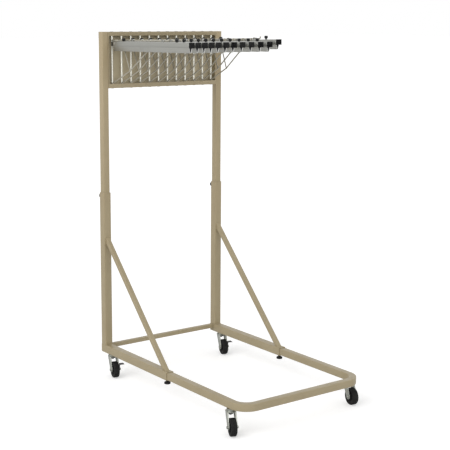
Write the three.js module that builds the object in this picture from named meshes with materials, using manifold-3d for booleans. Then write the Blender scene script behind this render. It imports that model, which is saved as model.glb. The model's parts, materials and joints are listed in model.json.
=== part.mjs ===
import * as THREE from 'three';
import { mergeVertices } from 'three/addons/utils/BufferGeometryUtils.js';
import Module from 'manifold-3d';

const wasm = await Module();
wasm.setup();

// Plan hanging rack on casters: millimetres, +X to the right, -Y to the front, +Z up.

// Clearances between pieces
const GAP = 0.3;
const SLIDE_CLEAR = 0.5;
const AXLE_CLEAR = 0.4;

// How far a cutter passes the face it opens, and a welded piece runs into the next
const OVERRUN = 1;
const SAME_POINT = 1e-4;

// Flats of round pieces and steps of bends
const STEM_HOLE_SIDES = 16;
const HOLE_SIDES = 12;
const KNOB_SIDES = 16;
const ROD_SIDES = 12;
const COLLAR_SIDES = 16;
const WIRE_SIDES = 6;
const CLAMP_STUD_SIDES = 10;
const CLAMP_KNOB_SIDES = 14;
const BEAD_SIDES = 10;
const STEM_SIDES = 14;
const RACE_SIDES = 18;
const AXLE_SIDES = 12;
const NUT_SIDES = 6;
const WHEEL_SIDES = 28;
const CORNER_STEPS = 2;
const BEND_STEPS = 8;
const ROUND_STEPS = 6;
const SHARP_CORNER = 0.75 * Math.PI;

// Square tubes: the inner ones slide in the outer ones
const INNER_TUBE = 32;
const INNER_WALL = 1.5;
const OUTER_WALL = 2.5;
const OUTER_BORE = INNER_TUBE + 2 * SLIDE_CLEAR;
const OUTER_TUBE = OUTER_BORE + 2 * OUTER_WALL;
const SMALL_TUBE = 20;
const SMALL_WALL = 1.5;
const CORNER = 3;
const DRAIN_DIA = 6;

// Casters
const WHEEL_DIA = 76;
const WHEEL_WIDTH = 26;
const TREAD_ROUND = 4;
const AXLE_DIA = 8;
const CHEEK_SPACE = 1.5;
const CHEEK = 2.5;
const CHEEK_DEPTH = 5;
const CHEEK_ROUND = 12;
const CHEEK_START_DEGREES = 160;
const CHEEK_END_DEGREES = 350;
const TRAIL = 34;
const CROWN_FRONT = 0.7 * TRAIL;
const CROWN_CLEAR = 19;
const CROWN_PLATE = 3;
const RACE_DIA = 40;
const RACE_HEIGHT = 3;
const CROWN_BACK = 0.4 * RACE_DIA;
const CAP_DIA = 0.84 * RACE_DIA;
const CAP_HEIGHT = 3;
const KINGPIN_NUT = 13;
const KINGPIN_DROP = 9;
const STEM_DIA = 11;
const STEM_RISE = 0.6 * INNER_TUBE;
const NUT = 5;
const NUT_DIA = 1.6 * AXLE_DIA;
const LEVER = 2.5;
const LEVER_RISE = 24;
const LEVER_BACK = 14;
const LEVER_FRONT = 10;
const LEVER_ROUND = 9;
const LEVER_TAB = 22;

// How far each caster is turned about its stem, in degrees
const HEADING = { rear_left: -14, rear_right: -16, front_left: -23, front_right: -10 };

// Base
const RAIL_FRONT = 535;
const BASE_FRONT = 1078;
const BEND_RADIUS = 68;
const LEG_INSERT = 300;
const REAR_CASTER = 50;
const FRONT_CASTER = 92;
const FRONT_CASTER_OUT = 5;
const BASE_KNOB_BACK = 20;
const BASE_KNOB_DROP = 21;
const BASE_KNOB_DIA = 29;
const BASE_KNOB_EDGE = 1.5;
const BASE_KNOB_RIM = 8;
const BASE_KNOB_HEAD = 12;
const BRACE_FOOT = 505;
const BRACE_RISE = 507;

// Posts
const LOWER_POST = 731;
const POST_INSERT = 350;
const UPPER_POST = 1088;
const POST_CAP = 2;
const HEIGHT_KNOB_DROP = 18;
const STUD_DIA = 8;
const KNOB_REACH = 19;
const HEIGHT_KNOB_DIA = 24;
const HEIGHT_KNOB_EDGE = 2;
const KNOB_NECK_DIA = 13;
const KNOB_NECK = 3;
const KNOB_FLARE = 2;

// Hangers and clamps
const HANGERS = 12;
const CLAMP_WIDTH = 28;
const CLAMP_REACH = 614;
const CLAMP_START = 30;
const CLAMP_BODY = 24;
const CLAMP_WALL = 2;
const JAW_DROP = 20;
const JAW_PLATE = 2.2;
const JAW_CLEAR = 0.5;
const BEAD_DIA = 4.8;
const RIB_REACH = 3;
const RIB_DROP = 4;
const RIB_HEIGHT = 3;
const TONGUE_RISE = 0.3 * JAW_DROP;
const END_BLOCK = 14;
const TAB_WIDTH = 12;
const TAB_INSET = 2;
const NOSE_LEAN = 7;
const CAP_PLATE = 3;
const CLAMP_STUD_DIA = 8;
const CLAMP_KNOB_DIA = 15.5;
const CLAMP_KNOB_HEIGHT = 12;
const CLAMP_KNOB_RISE = 2;
const LOOSE_KNOB_RISE = 4;
const REAR_CLAMP_KNOB = 70;
const FRONT_CLAMP_KNOB = 107;

// Rack channel
const RACK_WIDTH = 609.6;
const ROD_PITCH = RACK_WIDTH / HANGERS;
const CLAMP_SPACE = ROD_PITCH - CLAMP_WIDTH;
const FIRST_TIP = 0.7 * CLAMP_SPACE;
const TIP_DRIFT = 3.9 * CLAMP_SPACE;
const SETTLED_AT = 8;
const RACK_HEIGHT = 255.5;
const RACK_DEPTH = 30;
const RACK_SHEET = 2;
const TOP_LIP = 18;
const BOTTOM_LIP = 20;
const SIDE_LIP = 5;
const PIVOT_SET = 10;

// Hanger brackets
const ROD_DIA = 9.5;
const ROD_FOOT = 1;
const COLLAR_HEIGHT = 5;
const COLLAR_CLEAR = 1;
const WIRE_DIA = 6;
const WIRE_BEND = 1.5 * WIRE_DIA;
const STRUT_DIA = 5;
const WIRE_CLEAR = 0.8;
const ARM_REACH = 430;
const TIP_RISE = 4;
const CLAMP_DROP = 42;
const CLAMP_RISE = 8;
const LAST_RISE = 18;
const LUG = 2.5;
const LUG_LENGTH = 16;

// Places along the arm, and shares of the diagonal's rise and of the arm's step aside
const STRUT_AT = 0.284 * ARM_REACH;
const STRUT_FOOT_SHARE = 0.42;
const KNEE_AT = 0.61 * ARM_REACH;
const KNEE_SHARE = 1.04;
const SWEEP_SHARE = 1.4;
const STRUT_TOP_SHARE = 1.6;
const DIAGONAL_AT = 0.66 * ARM_REACH;
const REAR_LUG_AT = 0.35 * ARM_REACH;
const FRONT_LUG_AT = 0.9 * ARM_REACH;

// Heights from the floor
const RAIL_BOTTOM = WHEEL_DIA + CROWN_CLEAR + CROWN_PLATE + RACE_HEIGHT + CAP_HEIGHT;
const RAIL_TOP = RAIL_BOTTOM + OUTER_TUBE;
const LEG_BOTTOM = RAIL_BOTTOM + OUTER_WALL + SLIDE_CLEAR;
const SLEEVE_TOP = RAIL_TOP + LOWER_POST;
const UPPER_BOTTOM = SLEEVE_TOP - POST_INSERT;
const RACK_TOP = UPPER_BOTTOM + UPPER_POST;
const RACK_BOTTOM = RACK_TOP - RACK_HEIGHT;
const CLAMP_TOP = RACK_TOP - CLAMP_DROP;
const BLOCK_BOTTOM = CLAMP_TOP - CLAMP_BODY;
const JAW_BOTTOM = BLOCK_BOTTOM - JAW_DROP;
const ARM_Z = CLAMP_TOP + JAW_CLEAR + WIRE_DIA / 2;

// Places across and along the object
const POST_X = RACK_WIDTH / 2 + INNER_TUBE / 2;
const RACK_FRONT = -INNER_TUBE / 2;
const PIVOT_Y = RACK_FRONT + PIVOT_SET;
const BACK_FACE = OUTER_TUBE / 2 + KNOB_REACH;

// Finishes
const COAT = { color: 0xa6987a, roughness: 0.5, metalness: 0.15 };
const ZINC = { color: 0xb9b9b4, roughness: 0.35, metalness: 0.85 };
const BRIGHT = { color: 0xd2d0c4, roughness: 0.3, metalness: 0.8 };
const ALUMINIUM = { color: 0xa6a7a1, roughness: 0.4, metalness: 0.75 };
const TREAD = { color: 0x37383a, roughness: 0.75, metalness: 0 };
const BLACK = { color: 0x1c1c1d, roughness: 0.5, metalness: 0 };
const DARK_STEEL = { color: 0x3d3d3e, roughness: 0.45, metalness: 0.6 };

const root = new THREE.Group();
root.name = 'plan_hanging_rack';
root.position.y = (BASE_FRONT - BACK_FACE) / 2;

function place(parent, name, geometry, finish) {
  const mesh = new THREE.Mesh(geometry, new THREE.MeshStandardMaterial(finish));
  mesh.name = name;
  parent.add(mesh);
  return mesh;
}

// Boolean work on closed solids

function solid(geometry) {
  const bare = geometry.clone();
  bare.deleteAttribute('normal');
  bare.deleteAttribute('uv');
  const merged = mergeVertices(bare, SAME_POINT);
  const index = merged.index.array;
  const corners = [];
  for (let i = 0; i < index.length; i += 3) {
    const [a, b, c] = [index[i], index[i + 1], index[i + 2]];
    if (a !== b && b !== c && c !== a) {
      corners.push(a, b, c);
    }
  }
  return new wasm.Manifold(new wasm.Mesh({
    numProp: 3,
    vertProperties: Float32Array.from(merged.attributes.position.array),
    triVerts: Uint32Array.from(corners),
  }));
}

function skin(body) {
  const mesh = body.getMesh();
  const geometry = new THREE.BufferGeometry();
  geometry.setAttribute('position', new THREE.BufferAttribute(Float32Array.from(mesh.vertProperties), 3));
  geometry.setIndex(new THREE.BufferAttribute(Uint32Array.from(mesh.triVerts), 1));
  const flat = geometry.toNonIndexed();
  flat.computeVertexNormals();
  return flat;
}

function join(...geometries) {
  return skin(geometries.map(solid).reduce((a, b) => a.add(b)));
}

function cut(geometry, ...tools) {
  return skin(tools.map(solid).reduce((a, b) => a.subtract(b), solid(geometry)));
}

// Plain solids

function outline(points) {
  return new THREE.Shape(points.map(([x, y]) => new THREE.Vector2(x, y)));
}

function upright(shape, z0, z1) {
  const geometry = new THREE.ExtrudeGeometry(shape, { depth: z1 - z0, bevelEnabled: false });
  return geometry.translate(0, 0, z0);
}

// A shape drawn in X and Z, run forward from one distance to another.
function forward(shape, from, to) {
  const geometry = new THREE.ExtrudeGeometry(shape, { depth: to - from, bevelEnabled: false });
  return geometry.rotateX(Math.PI / 2).translate(0, -from, 0);
}

// A shape drawn in Y and Z, run across from one X to another.
function across(shape, x0, x1) {
  const geometry = new THREE.ExtrudeGeometry(shape, { depth: x1 - x0, bevelEnabled: false });
  return geometry.rotateX(Math.PI / 2).rotateZ(Math.PI / 2).translate(x0, 0, 0);
}

function box(x0, x1, y0, y1, z0, z1) {
  const geometry = new THREE.BoxGeometry(x1 - x0, y1 - y0, z1 - z0);
  return geometry.translate((x0 + x1) / 2, (y0 + y1) / 2, (z0 + z1) / 2);
}

function bar(radius, z0, z1, sides) {
  const geometry = new THREE.CylinderGeometry(radius, radius, z1 - z0, sides);
  return geometry.rotateX(Math.PI / 2).translate(0, 0, (z0 + z1) / 2);
}

function crossBar(radius, x0, x1, sides) {
  const geometry = new THREE.CylinderGeometry(radius, radius, x1 - x0, sides);
  return geometry.rotateZ(-Math.PI / 2).translate((x0 + x1) / 2, 0, 0);
}

// A round hole whose flats keep the full clearance.
function drill(dia, z0, z1, sides) {
  return bar((dia / 2 + GAP) / Math.cos(Math.PI / sides), z0, z1, sides);
}

function turned(points, segments) {
  return new THREE.LatheGeometry(points.map(([r, h]) => new THREE.Vector2(r, h)), segments);
}

function roundedSquare(size, radius) {
  const points = [];
  const inset = size / 2 - radius;
  const centres = [[inset, inset], [-inset, inset], [-inset, -inset], [inset, -inset]];
  centres.forEach(([x, y], quarter) => {
    for (let step = 0; step <= CORNER_STEPS; step += 1) {
      const turn = (quarter + step / CORNER_STEPS) * Math.PI / 2;
      points.push([x + radius * Math.cos(turn), y + radius * Math.sin(turn)]);
    }
  });
  return points;
}

function squareTube(size, wall) {
  const shape = outline(roundedSquare(size, CORNER));
  const half = size / 2 - wall;
  const bore = [[-half, -half], [half, -half], [half, half], [-half, half]];
  shape.holes.push(new THREE.Path(bore.map(([x, y]) => new THREE.Vector2(x, y))));
  return shape;
}

// A path given by its stations, so that straight runs take one step and bends take several.
class StationPath extends THREE.Curve {
  constructor(stations) {
    super();
    this.stations = stations;
  }

  station(u) {
    return Math.round(u * (this.stations.length - 1));
  }

  getPointAt(u, target = new THREE.Vector3()) {
    return target.copy(this.stations[this.station(u)]);
  }

  getTangentAt(u, target = new THREE.Vector3()) {
    const at = this.station(u);
    const here = this.stations[at];
    const before = this.stations[Math.max(at - 1, 0)];
    const after = this.stations[Math.min(at + 1, this.stations.length - 1)];
    const arriving = here.clone().sub(before).normalize();
    const leaving = after.clone().sub(here).normalize();
    return target.copy(arriving).add(leaving).normalize();
  }
}

function swept(shape, stations) {
  return new THREE.ExtrudeGeometry(shape, {
    extrudePath: new StationPath(stations),
    steps: stations.length - 1,
    bevelEnabled: false,
  });
}

// Corner points of a bent wire, each corner eased by short steps: two for a sharp corner, else one.
function softened(corners, reach) {
  const stations = [corners[0]];
  for (let i = 1; i < corners.length - 1; i += 1) {
    const back = corners[i - 1].clone().sub(corners[i]).normalize().multiplyScalar(reach);
    const ahead = corners[i + 1].clone().sub(corners[i]).normalize().multiplyScalar(reach);
    const enter = corners[i].clone().add(back);
    const leave = corners[i].clone().add(ahead);
    const middle = enter.clone().add(leave).multiplyScalar(0.25).addScaledVector(corners[i], 0.5);
    if (back.angleTo(ahead) < SHARP_CORNER) {
      stations.push(enter, middle, leave);
    } else {
      stations.push(enter, leave);
    }
  }
  stations.push(corners[corners.length - 1]);
  return stations;
}

function disc(dia, sides) {
  const points = [];
  for (let i = 0; i < sides; i += 1) {
    const turn = (i + 0.5) * 2 * Math.PI / sides;
    points.push([dia / 2 * Math.cos(turn), dia / 2 * Math.sin(turn)]);
  }
  return outline(points);
}

function wire(corners, dia) {
  return swept(disc(dia, WIRE_SIDES), softened(corners, WIRE_BEND));
}

// Rear base frame: two side rails and a cross rail, welded into one piece.
const railBack = OUTER_TUBE / 2;
const railMiddle = RAIL_BOTTOM + OUTER_TUBE / 2;

function sideRail(x) {
  const low = RAIL_BOTTOM - OVERRUN;
  const high = RAIL_BOTTOM + OUTER_WALL + OVERRUN;
  const stem = drill(STEM_DIA, low, high, STEM_HOLE_SIDES).translate(x, -REAR_CASTER, 0);
  const stud = drill(STUD_DIA, low, high, HOLE_SIDES);
  const bore = box(-OUTER_BORE / 2, OUTER_BORE / 2, -RAIL_FRONT - OVERRUN, railBack - OUTER_WALL,
    -OUTER_BORE / 2, OUTER_BORE / 2).translate(x, 0, railMiddle);
  const outside = forward(outline(roundedSquare(OUTER_TUBE, CORNER)), -railBack, RAIL_FRONT);
  return cut(outside.translate(x, 0, railMiddle), bore, stem,
    stud.translate(x, -RAIL_FRONT + BASE_KNOB_BACK, 0));
}

const crossReach = POST_X - OUTER_TUBE / 2 + OUTER_WALL / 2;
const crossBore = SMALL_TUBE / 2 - SMALL_WALL;
const crossMiddle = RAIL_TOP - SMALL_TUBE / 2;
const crossTube = cut(
  across(outline(roundedSquare(SMALL_TUBE, CORNER)), -crossReach, crossReach).translate(0, 0, crossMiddle),
  box(-crossReach + OUTER_WALL, crossReach - OUTER_WALL, -crossBore, crossBore,
    crossMiddle - crossBore, crossMiddle + crossBore),
  bar(DRAIN_DIA / 2, RAIL_TOP - SMALL_TUBE - OVERRUN, crossMiddle, HOLE_SIDES),
);
place(root, 'rear_base_frame', join(sideRail(-POST_X), sideRail(POST_X), crossTube), COAT);

// Front base frame: one tube bent to a U, its legs inside the side rails.
const uMiddle = LEG_BOTTOM + INNER_TUBE / 2;
const bendX = POST_X - BEND_RADIUS;
const bendY = -(BASE_FRONT - INNER_TUBE / 2 - BEND_RADIUS);
const legEnd = -(RAIL_FRONT - LEG_INSERT);

function bendPoint(side, degrees) {
  const turn = THREE.MathUtils.degToRad(degrees);
  return new THREE.Vector3(
    side * (bendX + BEND_RADIUS * Math.cos(turn)), bendY - BEND_RADIUS * Math.sin(turn), uMiddle);
}

const uStations = [new THREE.Vector3(-POST_X, legEnd, uMiddle)];
for (let i = 0; i <= BEND_STEPS; i += 1) {
  uStations.push(bendPoint(-1, 90 * i / BEND_STEPS));
}
for (let i = BEND_STEPS; i >= 0; i -= 1) {
  uStations.push(bendPoint(1, 90 * i / BEND_STEPS));
}
uStations.push(new THREE.Vector3(POST_X, legEnd, uMiddle));

const frontCasterX = POST_X + FRONT_CASTER_OUT;
const frontCasterY = FRONT_CASTER - BASE_FRONT;
const stemHole = drill(STEM_DIA, LEG_BOTTOM - OVERRUN, LEG_BOTTOM + INNER_WALL + OVERRUN,
  STEM_HOLE_SIDES);
const stemHoles = [-1, 1].map((side) => stemHole.clone().translate(side * frontCasterX, frontCasterY, 0));
const uTube = swept(squareTube(INNER_TUBE, INNER_WALL), uStations);
place(root, 'front_base_frame', cut(uTube, ...stemHoles), COAT);

// Lower posts stand on the side rails and guide the upper posts.
const knobZ = SLEEVE_TOP - HEIGHT_KNOB_DROP;
const lowerPost = cut(
  upright(squareTube(OUTER_TUBE, OUTER_WALL), RAIL_TOP, SLEEVE_TOP),
  drill(STUD_DIA, 0, OUTER_TUBE, HOLE_SIDES).rotateX(-Math.PI / 2).translate(0, 0, knobZ),
);

// Braces run from the side rails up to the lower posts, with both ends cut flush.
const braceTop = RAIL_TOP + BRACE_RISE;
const braceRun = BRACE_FOOT - OUTER_TUBE / 2;
const braceLean = Math.atan2(BRACE_RISE, braceRun);

function braceSide(half, extra) {
  const rise = half / Math.cos(braceLean);
  const run = half / Math.sin(braceLean);
  const slope = BRACE_RISE / braceRun;
  return outline([
    [-OUTER_TUBE / 2 + extra, braceTop + rise + extra * slope],
    [-BRACE_FOOT - run - extra / slope, RAIL_TOP - extra],
    [-BRACE_FOOT + run - extra / slope, RAIL_TOP - extra],
    [-OUTER_TUBE / 2 + extra, braceTop - rise + extra * slope],
  ]);
}

const braceBore = SMALL_TUBE / 2 - SMALL_WALL;
const brace = cut(
  across(braceSide(SMALL_TUBE / 2, 0), -SMALL_TUBE / 2, SMALL_TUBE / 2),
  across(braceSide(braceBore, 2 * OVERRUN), -braceBore, braceBore),
);

// Upper posts: closed at the top, open inside the sleeves.
const postBore = INNER_TUBE / 2 - INNER_WALL;
const upperPost = cut(
  upright(outline(roundedSquare(INNER_TUBE, CORNER)), UPPER_BOTTOM, RACK_TOP),
  box(-postBore, postBore, -postBore, postBore, UPPER_BOTTOM - OVERRUN, RACK_TOP - POST_CAP),
);

// Height knobs: a stud through the back of the sleeve, stopping at the upper post.
const knobBack = OUTER_TUBE / 2 + GAP;
const heightKnob = turned([
  [0, INNER_TUBE / 2 + GAP],
  [STUD_DIA / 2, INNER_TUBE / 2 + GAP],
  [STUD_DIA / 2, knobBack],
  [KNOB_NECK_DIA / 2, knobBack],
  [KNOB_NECK_DIA / 2, knobBack + KNOB_NECK],
  [HEIGHT_KNOB_DIA / 2, knobBack + KNOB_NECK + KNOB_FLARE],
  [HEIGHT_KNOB_DIA / 2, BACK_FACE - HEIGHT_KNOB_EDGE],
  [HEIGHT_KNOB_DIA / 2 - HEIGHT_KNOB_EDGE, BACK_FACE],
  [0, BACK_FACE],
], KNOB_SIDES);

// Base knobs: a stud up through each side rail, stopping under the sliding leg.
const baseKnob = turned([
  [0, -BASE_KNOB_DROP],
  [BASE_KNOB_DIA / 2 - BASE_KNOB_EDGE, -BASE_KNOB_DROP],
  [BASE_KNOB_DIA / 2, -BASE_KNOB_DROP + BASE_KNOB_EDGE],
  [BASE_KNOB_DIA / 2, -BASE_KNOB_DROP + BASE_KNOB_RIM],
  [KNOB_NECK_DIA / 2, -BASE_KNOB_DROP + BASE_KNOB_HEAD],
  [KNOB_NECK_DIA / 2, -GAP],
  [STUD_DIA / 2, -GAP],
  [STUD_DIA / 2, OUTER_WALL + SLIDE_CLEAR - GAP],
  [0, OUTER_WALL + SLIDE_CLEAR - GAP],
], KNOB_SIDES).rotateX(Math.PI / 2);

for (const [side, name] of [[-1, 'left'], [1, 'right']]) {
  place(root, `${name}_lower_post`, lowerPost, COAT).position.x = side * POST_X;
  place(root, `${name}_brace`, brace, COAT).position.x = side * POST_X;
  place(root, `${name}_upper_post`, upperPost, COAT).position.x = side * POST_X;
  place(root, `${name}_height_knob`, heightKnob, BLACK).position.set(side * POST_X, 0, knobZ);
  place(root, `${name}_base_knob`, baseKnob, BLACK)
    .position.set(side * POST_X, -RAIL_FRONT + BASE_KNOB_BACK, RAIL_BOTTOM);
}

// Rack channel: a folded pan with lips at the front and a row of holes for the pivot rods.
const rackHalf = RACK_WIDTH / 2;
const rackBack = RACK_FRONT + RACK_DEPTH;
const hangerX = Array.from({ length: HANGERS }, (unused, i) => (i - (HANGERS - 1) / 2) * ROD_PITCH);

function rodHole(sheetBottom) {
  return drill(ROD_DIA, sheetBottom - OVERRUN, sheetBottom + RACK_SHEET + OVERRUN, HOLE_SIDES);
}

const rodHoles = hangerX.flatMap((x) => [
  rodHole(RACK_BOTTOM).translate(x, PIVOT_Y, 0),
  rodHole(RACK_TOP - RACK_SHEET).translate(x, PIVOT_Y, 0),
]);
place(root, 'rack_channel', cut(
  box(-rackHalf, rackHalf, RACK_FRONT, rackBack, RACK_BOTTOM, RACK_TOP),
  box(-rackHalf + RACK_SHEET, rackHalf - RACK_SHEET, RACK_FRONT + RACK_SHEET, rackBack - RACK_SHEET,
    RACK_BOTTOM + RACK_SHEET, RACK_TOP - RACK_SHEET),
  box(-rackHalf + SIDE_LIP, rackHalf - SIDE_LIP, RACK_FRONT - OVERRUN, RACK_FRONT + RACK_SHEET + OVERRUN,
    RACK_BOTTOM + BOTTOM_LIP, RACK_TOP - TOP_LIP),
  ...rodHoles,
), COAT);

// Hangers are drawn with the pivot rod on the Z axis and the arm pointing to -Y. The arm and its clamp
// rise a little towards the front, the last ones more than the rest.
const tiltZ = CLAMP_TOP - CLAMP_BODY / 2;
const ACROSS = new THREE.Vector3(1, 0, 0);

function tilt(i) {
  return -Math.asin((i === HANGERS - 1 ? LAST_RISE : CLAMP_RISE) / CLAMP_REACH);
}

function tilted(geometry, i) {
  return geometry.clone().translate(0, 0, -tiltZ).rotateX(tilt(i)).translate(0, 0, tiltZ);
}

function at(reach, side, z) {
  return new THREE.Vector3(side, -reach, z);
}

// Hanger bracket: pivot rod with a collar, arm, diagonal and strut, welded.
const armSide = CLAMP_WIDTH / 2 + WIRE_CLEAR + WIRE_DIA / 2;
const diagonalFoot = RACK_BOTTOM + BOTTOM_LIP + GAP;
const diagonalRise = JAW_BOTTOM - diagonalFoot;
const sweepEnd = CLAMP_START + SWEEP_SHARE * armSide;
const strutTop = CLAMP_START + STRUT_TOP_SHARE * armSide;
const strutFoot = at(STRUT_AT, armSide, diagonalFoot + STRUT_FOOT_SHARE * diagonalRise);

function onArm(reach, side, i) {
  return at(reach, side, ARM_Z - tiltZ).applyAxisAngle(ACROSS, tilt(i)).add(at(0, 0, tiltZ));
}

function bracket(i) {
  return join(
    bar(ROD_DIA / 2, RACK_BOTTOM - ROD_FOOT, RACK_TOP - GAP, ROD_SIDES),
    bar(PIVOT_SET - RACK_SHEET - COLLAR_CLEAR, RACK_BOTTOM + RACK_SHEET + GAP,
      RACK_BOTTOM + RACK_SHEET + GAP + COLLAR_HEIGHT, COLLAR_SIDES),
    wire([
      onArm(0, 0, i),
      onArm(CLAMP_START, 0, i),
      onArm(sweepEnd, armSide, i),
      onArm(ARM_REACH, armSide, i),
      onArm(ARM_REACH, armSide, i).add(at(0, 0, WIRE_DIA + TIP_RISE)),
    ], WIRE_DIA),
    wire([
      at(0, 0, diagonalFoot),
      strutFoot,
      at(KNEE_AT, armSide, diagonalFoot + KNEE_SHARE * diagonalRise),
      onArm(DIAGONAL_AT, armSide, i),
    ], WIRE_DIA),
    wire([onArm(strutTop, armSide, i), strutFoot], STRUT_DIA),
  );
}

// Clamp rail: an extruded channel whose long left wall is the fixed jaw, with its end blocks,
// rear tab, two knobs and the lugs that hang it on the arm.
const half = CLAMP_WIDTH / 2;
const inner = half - CLAMP_WALL;
const ribTop = CLAMP_TOP - CLAMP_WALL - RIB_DROP;
const ribBottom = ribTop - RIB_HEIGHT;
const hinge = { s: inner - RIB_REACH - GAP - BEAD_DIA / 2, z: (ribTop + ribBottom) / 2 };
const foldZ = BLOCK_BOTTOM + CLAMP_WALL;

function fixedFace(z) {
  return -inner + NOSE_LEAN * (foldZ - z) / (foldZ - JAW_BOTTOM);
}

const nose = fixedFace(JAW_BOTTOM);
const tip = { s: nose + JAW_CLEAR + JAW_PLATE / 2, z: JAW_BOTTOM + JAW_PLATE / 2 };
const jawLength = Math.hypot(hinge.s - tip.s, hinge.z - tip.z);
const jawRun = (hinge.s - tip.s) / (hinge.z - tip.z);
const jawHalf = JAW_PLATE / 2 * jawLength / (hinge.z - tip.z);
const section = outline([
  [nose - CLAMP_WALL, JAW_BOTTOM],
  [nose, JAW_BOTTOM],
  [-inner, foldZ],
  [-inner, CLAMP_TOP - CLAMP_WALL],
  [inner, CLAMP_TOP - CLAMP_WALL],
  [inner, ribTop],
  [inner - RIB_REACH, ribTop],
  [inner - RIB_REACH, ribBottom],
  [inner, ribBottom],
  [inner, BLOCK_BOTTOM],
  [half, BLOCK_BOTTOM],
  [half, CLAMP_TOP],
  [-half, CLAMP_TOP],
  [-half, foldZ],
]);

function jawFace(z) {
  return tip.s + (z - tip.z) * jawRun - jawHalf - JAW_CLEAR;
}

const tongueBottom = JAW_BOTTOM + TONGUE_RISE;
const tongueTop = BLOCK_BOTTOM + CLAMP_WALL / 2;
const tongue = outline([
  [fixedFace(tongueBottom) - CLAMP_WALL / 2, tongueBottom],
  [jawFace(tongueBottom), tongueBottom],
  [jawFace(BLOCK_BOTTOM), BLOCK_BOTTOM],
  [jawFace(BLOCK_BOTTOM), tongueTop],
  [fixedFace(tongueTop) - CLAMP_WALL / 2, tongueTop],
]);
const tabBack = ROD_DIA / 2 + 2 * GAP;

function endBlock(from) {
  const edge = half - CLAMP_WALL / 2;
  return join(
    box(-edge, edge, -from - END_BLOCK, -from, BLOCK_BOTTOM, CLAMP_TOP - CLAMP_WALL / 2),
    forward(tongue, from + CAP_PLATE, from + END_BLOCK - CAP_PLATE),
  );
}

function clampKnob(reach, rise) {
  const base = CLAMP_TOP + rise;
  return join(
    bar(CLAMP_STUD_DIA / 2, CLAMP_TOP - CLAMP_WALL / 2, base + OVERRUN, CLAMP_STUD_SIDES),
    bar(CLAMP_KNOB_DIA / 2, base, base + CLAMP_KNOB_HEIGHT, CLAMP_KNOB_SIDES),
  ).translate(0, -reach, 0);
}

function lug(reach) {
  const under = ARM_Z + WIRE_DIA / 2 + GAP;
  const left = armSide - WIRE_DIA / 2 - 2 * LUG - JAW_CLEAR;
  const front = -reach - LUG_LENGTH / 2;
  const back = -reach + LUG_LENGTH / 2;
  return join(
    box(left, left + LUG, front, back, CLAMP_TOP - CLAMP_WALL / 2, under + LUG),
    box(left, armSide + WIRE_DIA / 2 - GAP, front, back, under, under + LUG),
  );
}

const frontEnd = CLAMP_REACH - CAP_PLATE;
const clampBody = join(
  forward(section, CLAMP_START, frontEnd),
  endBlock(CLAMP_START),
  endBlock(CLAMP_REACH - END_BLOCK),
  box(-half, half, -CLAMP_REACH, -frontEnd, BLOCK_BOTTOM, CLAMP_TOP),
  box(-TAB_WIDTH / 2, TAB_WIDTH / 2, -CLAMP_START - OVERRUN, -tabBack,
    BLOCK_BOTTOM + TAB_INSET, CLAMP_TOP - TAB_INSET),
  lug(REAR_LUG_AT),
  lug(FRONT_LUG_AT),
);

// The front knob of the last clamp is left unscrewed a little.
function clampRail(i) {
  const frontRise = i === HANGERS - 1 ? LOOSE_KNOB_RISE : CLAMP_KNOB_RISE;
  return join(
    clampBody,
    clampKnob(CLAMP_START + REAR_CLAMP_KNOB, CLAMP_KNOB_RISE),
    clampKnob(CLAMP_REACH - FRONT_CLAMP_KNOB, frontRise),
  );
}

// Clamp jaw: a plate with a bead along its top that turns in the rail.
const lean = {
  s: JAW_PLATE / 2 * (hinge.z - tip.z) / jawLength,
  z: JAW_PLATE / 2 * (hinge.s - tip.s) / jawLength,
};
const jawPlate = outline([
  [tip.s - lean.s, tip.z + lean.z],
  [tip.s + lean.s, tip.z - lean.z],
  [hinge.s + lean.s, hinge.z - lean.z],
  [hinge.s - lean.s, hinge.z + lean.z],
]);
const jawEnds = [[CLAMP_START - OVERRUN, CLAMP_START + END_BLOCK + JAW_CLEAR],
  [CLAMP_REACH - END_BLOCK - JAW_CLEAR, CLAMP_REACH + OVERRUN]];
const clampJaw = cut(
  join(
    forward(jawPlate, CLAMP_START + JAW_CLEAR, frontEnd),
    forward(disc(BEAD_DIA, BEAD_SIDES), CLAMP_START + JAW_CLEAR, frontEnd)
      .translate(hinge.s, 0, hinge.z),
  ),
  ...jawEnds.map(([from, to]) => box(-half, half, -to, -from, BLOCK_BOTTOM - JAW_CLEAR, CLAMP_TOP)),
);

// The hangers stand as they were left: the first ones straight, the rest swung a little to the left.
hangerX.forEach((x, i) => {
  const share = Math.sin(Math.PI / 2 * Math.min(1, i / SETTLED_AT));
  const number = String(i + 1).padStart(2, '0');
  const hanger = new THREE.Group();
  hanger.name = `hanger_${number}`;
  hanger.position.set(x, PIVOT_Y, 0);
  hanger.rotation.z = Math.asin((FIRST_TIP - TIP_DRIFT * share) / CLAMP_REACH);
  root.add(hanger);
  place(hanger, `hanger_bracket_${number}`, bracket(i), BRIGHT);
  place(hanger, `clamp_rail_${number}`, tilted(clampRail(i), i), ALUMINIUM);
  place(hanger, `clamp_jaw_${number}`, tilted(clampJaw, i), ALUMINIUM);
});

// Casters are drawn with the swivel stem on the Z axis and the wheel trailing to -Y.
const axleZ = WHEEL_DIA / 2;
const crownTop = WHEEL_DIA + CROWN_CLEAR + CROWN_PLATE;
const cheekIn = WHEEL_WIDTH / 2 + CHEEK_SPACE;
const cheekOut = cheekIn + CHEEK_DEPTH;
const cheekSheet = cheekOut - CHEEK;

function roundAbout(radius, from, to) {
  return Array.from({ length: ROUND_STEPS + 1 }, (unused, i) => {
    const turn = THREE.MathUtils.degToRad(from + (to - from) * i / ROUND_STEPS);
    return [-TRAIL + radius * Math.cos(turn), axleZ + radius * Math.sin(turn)];
  });
}

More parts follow.
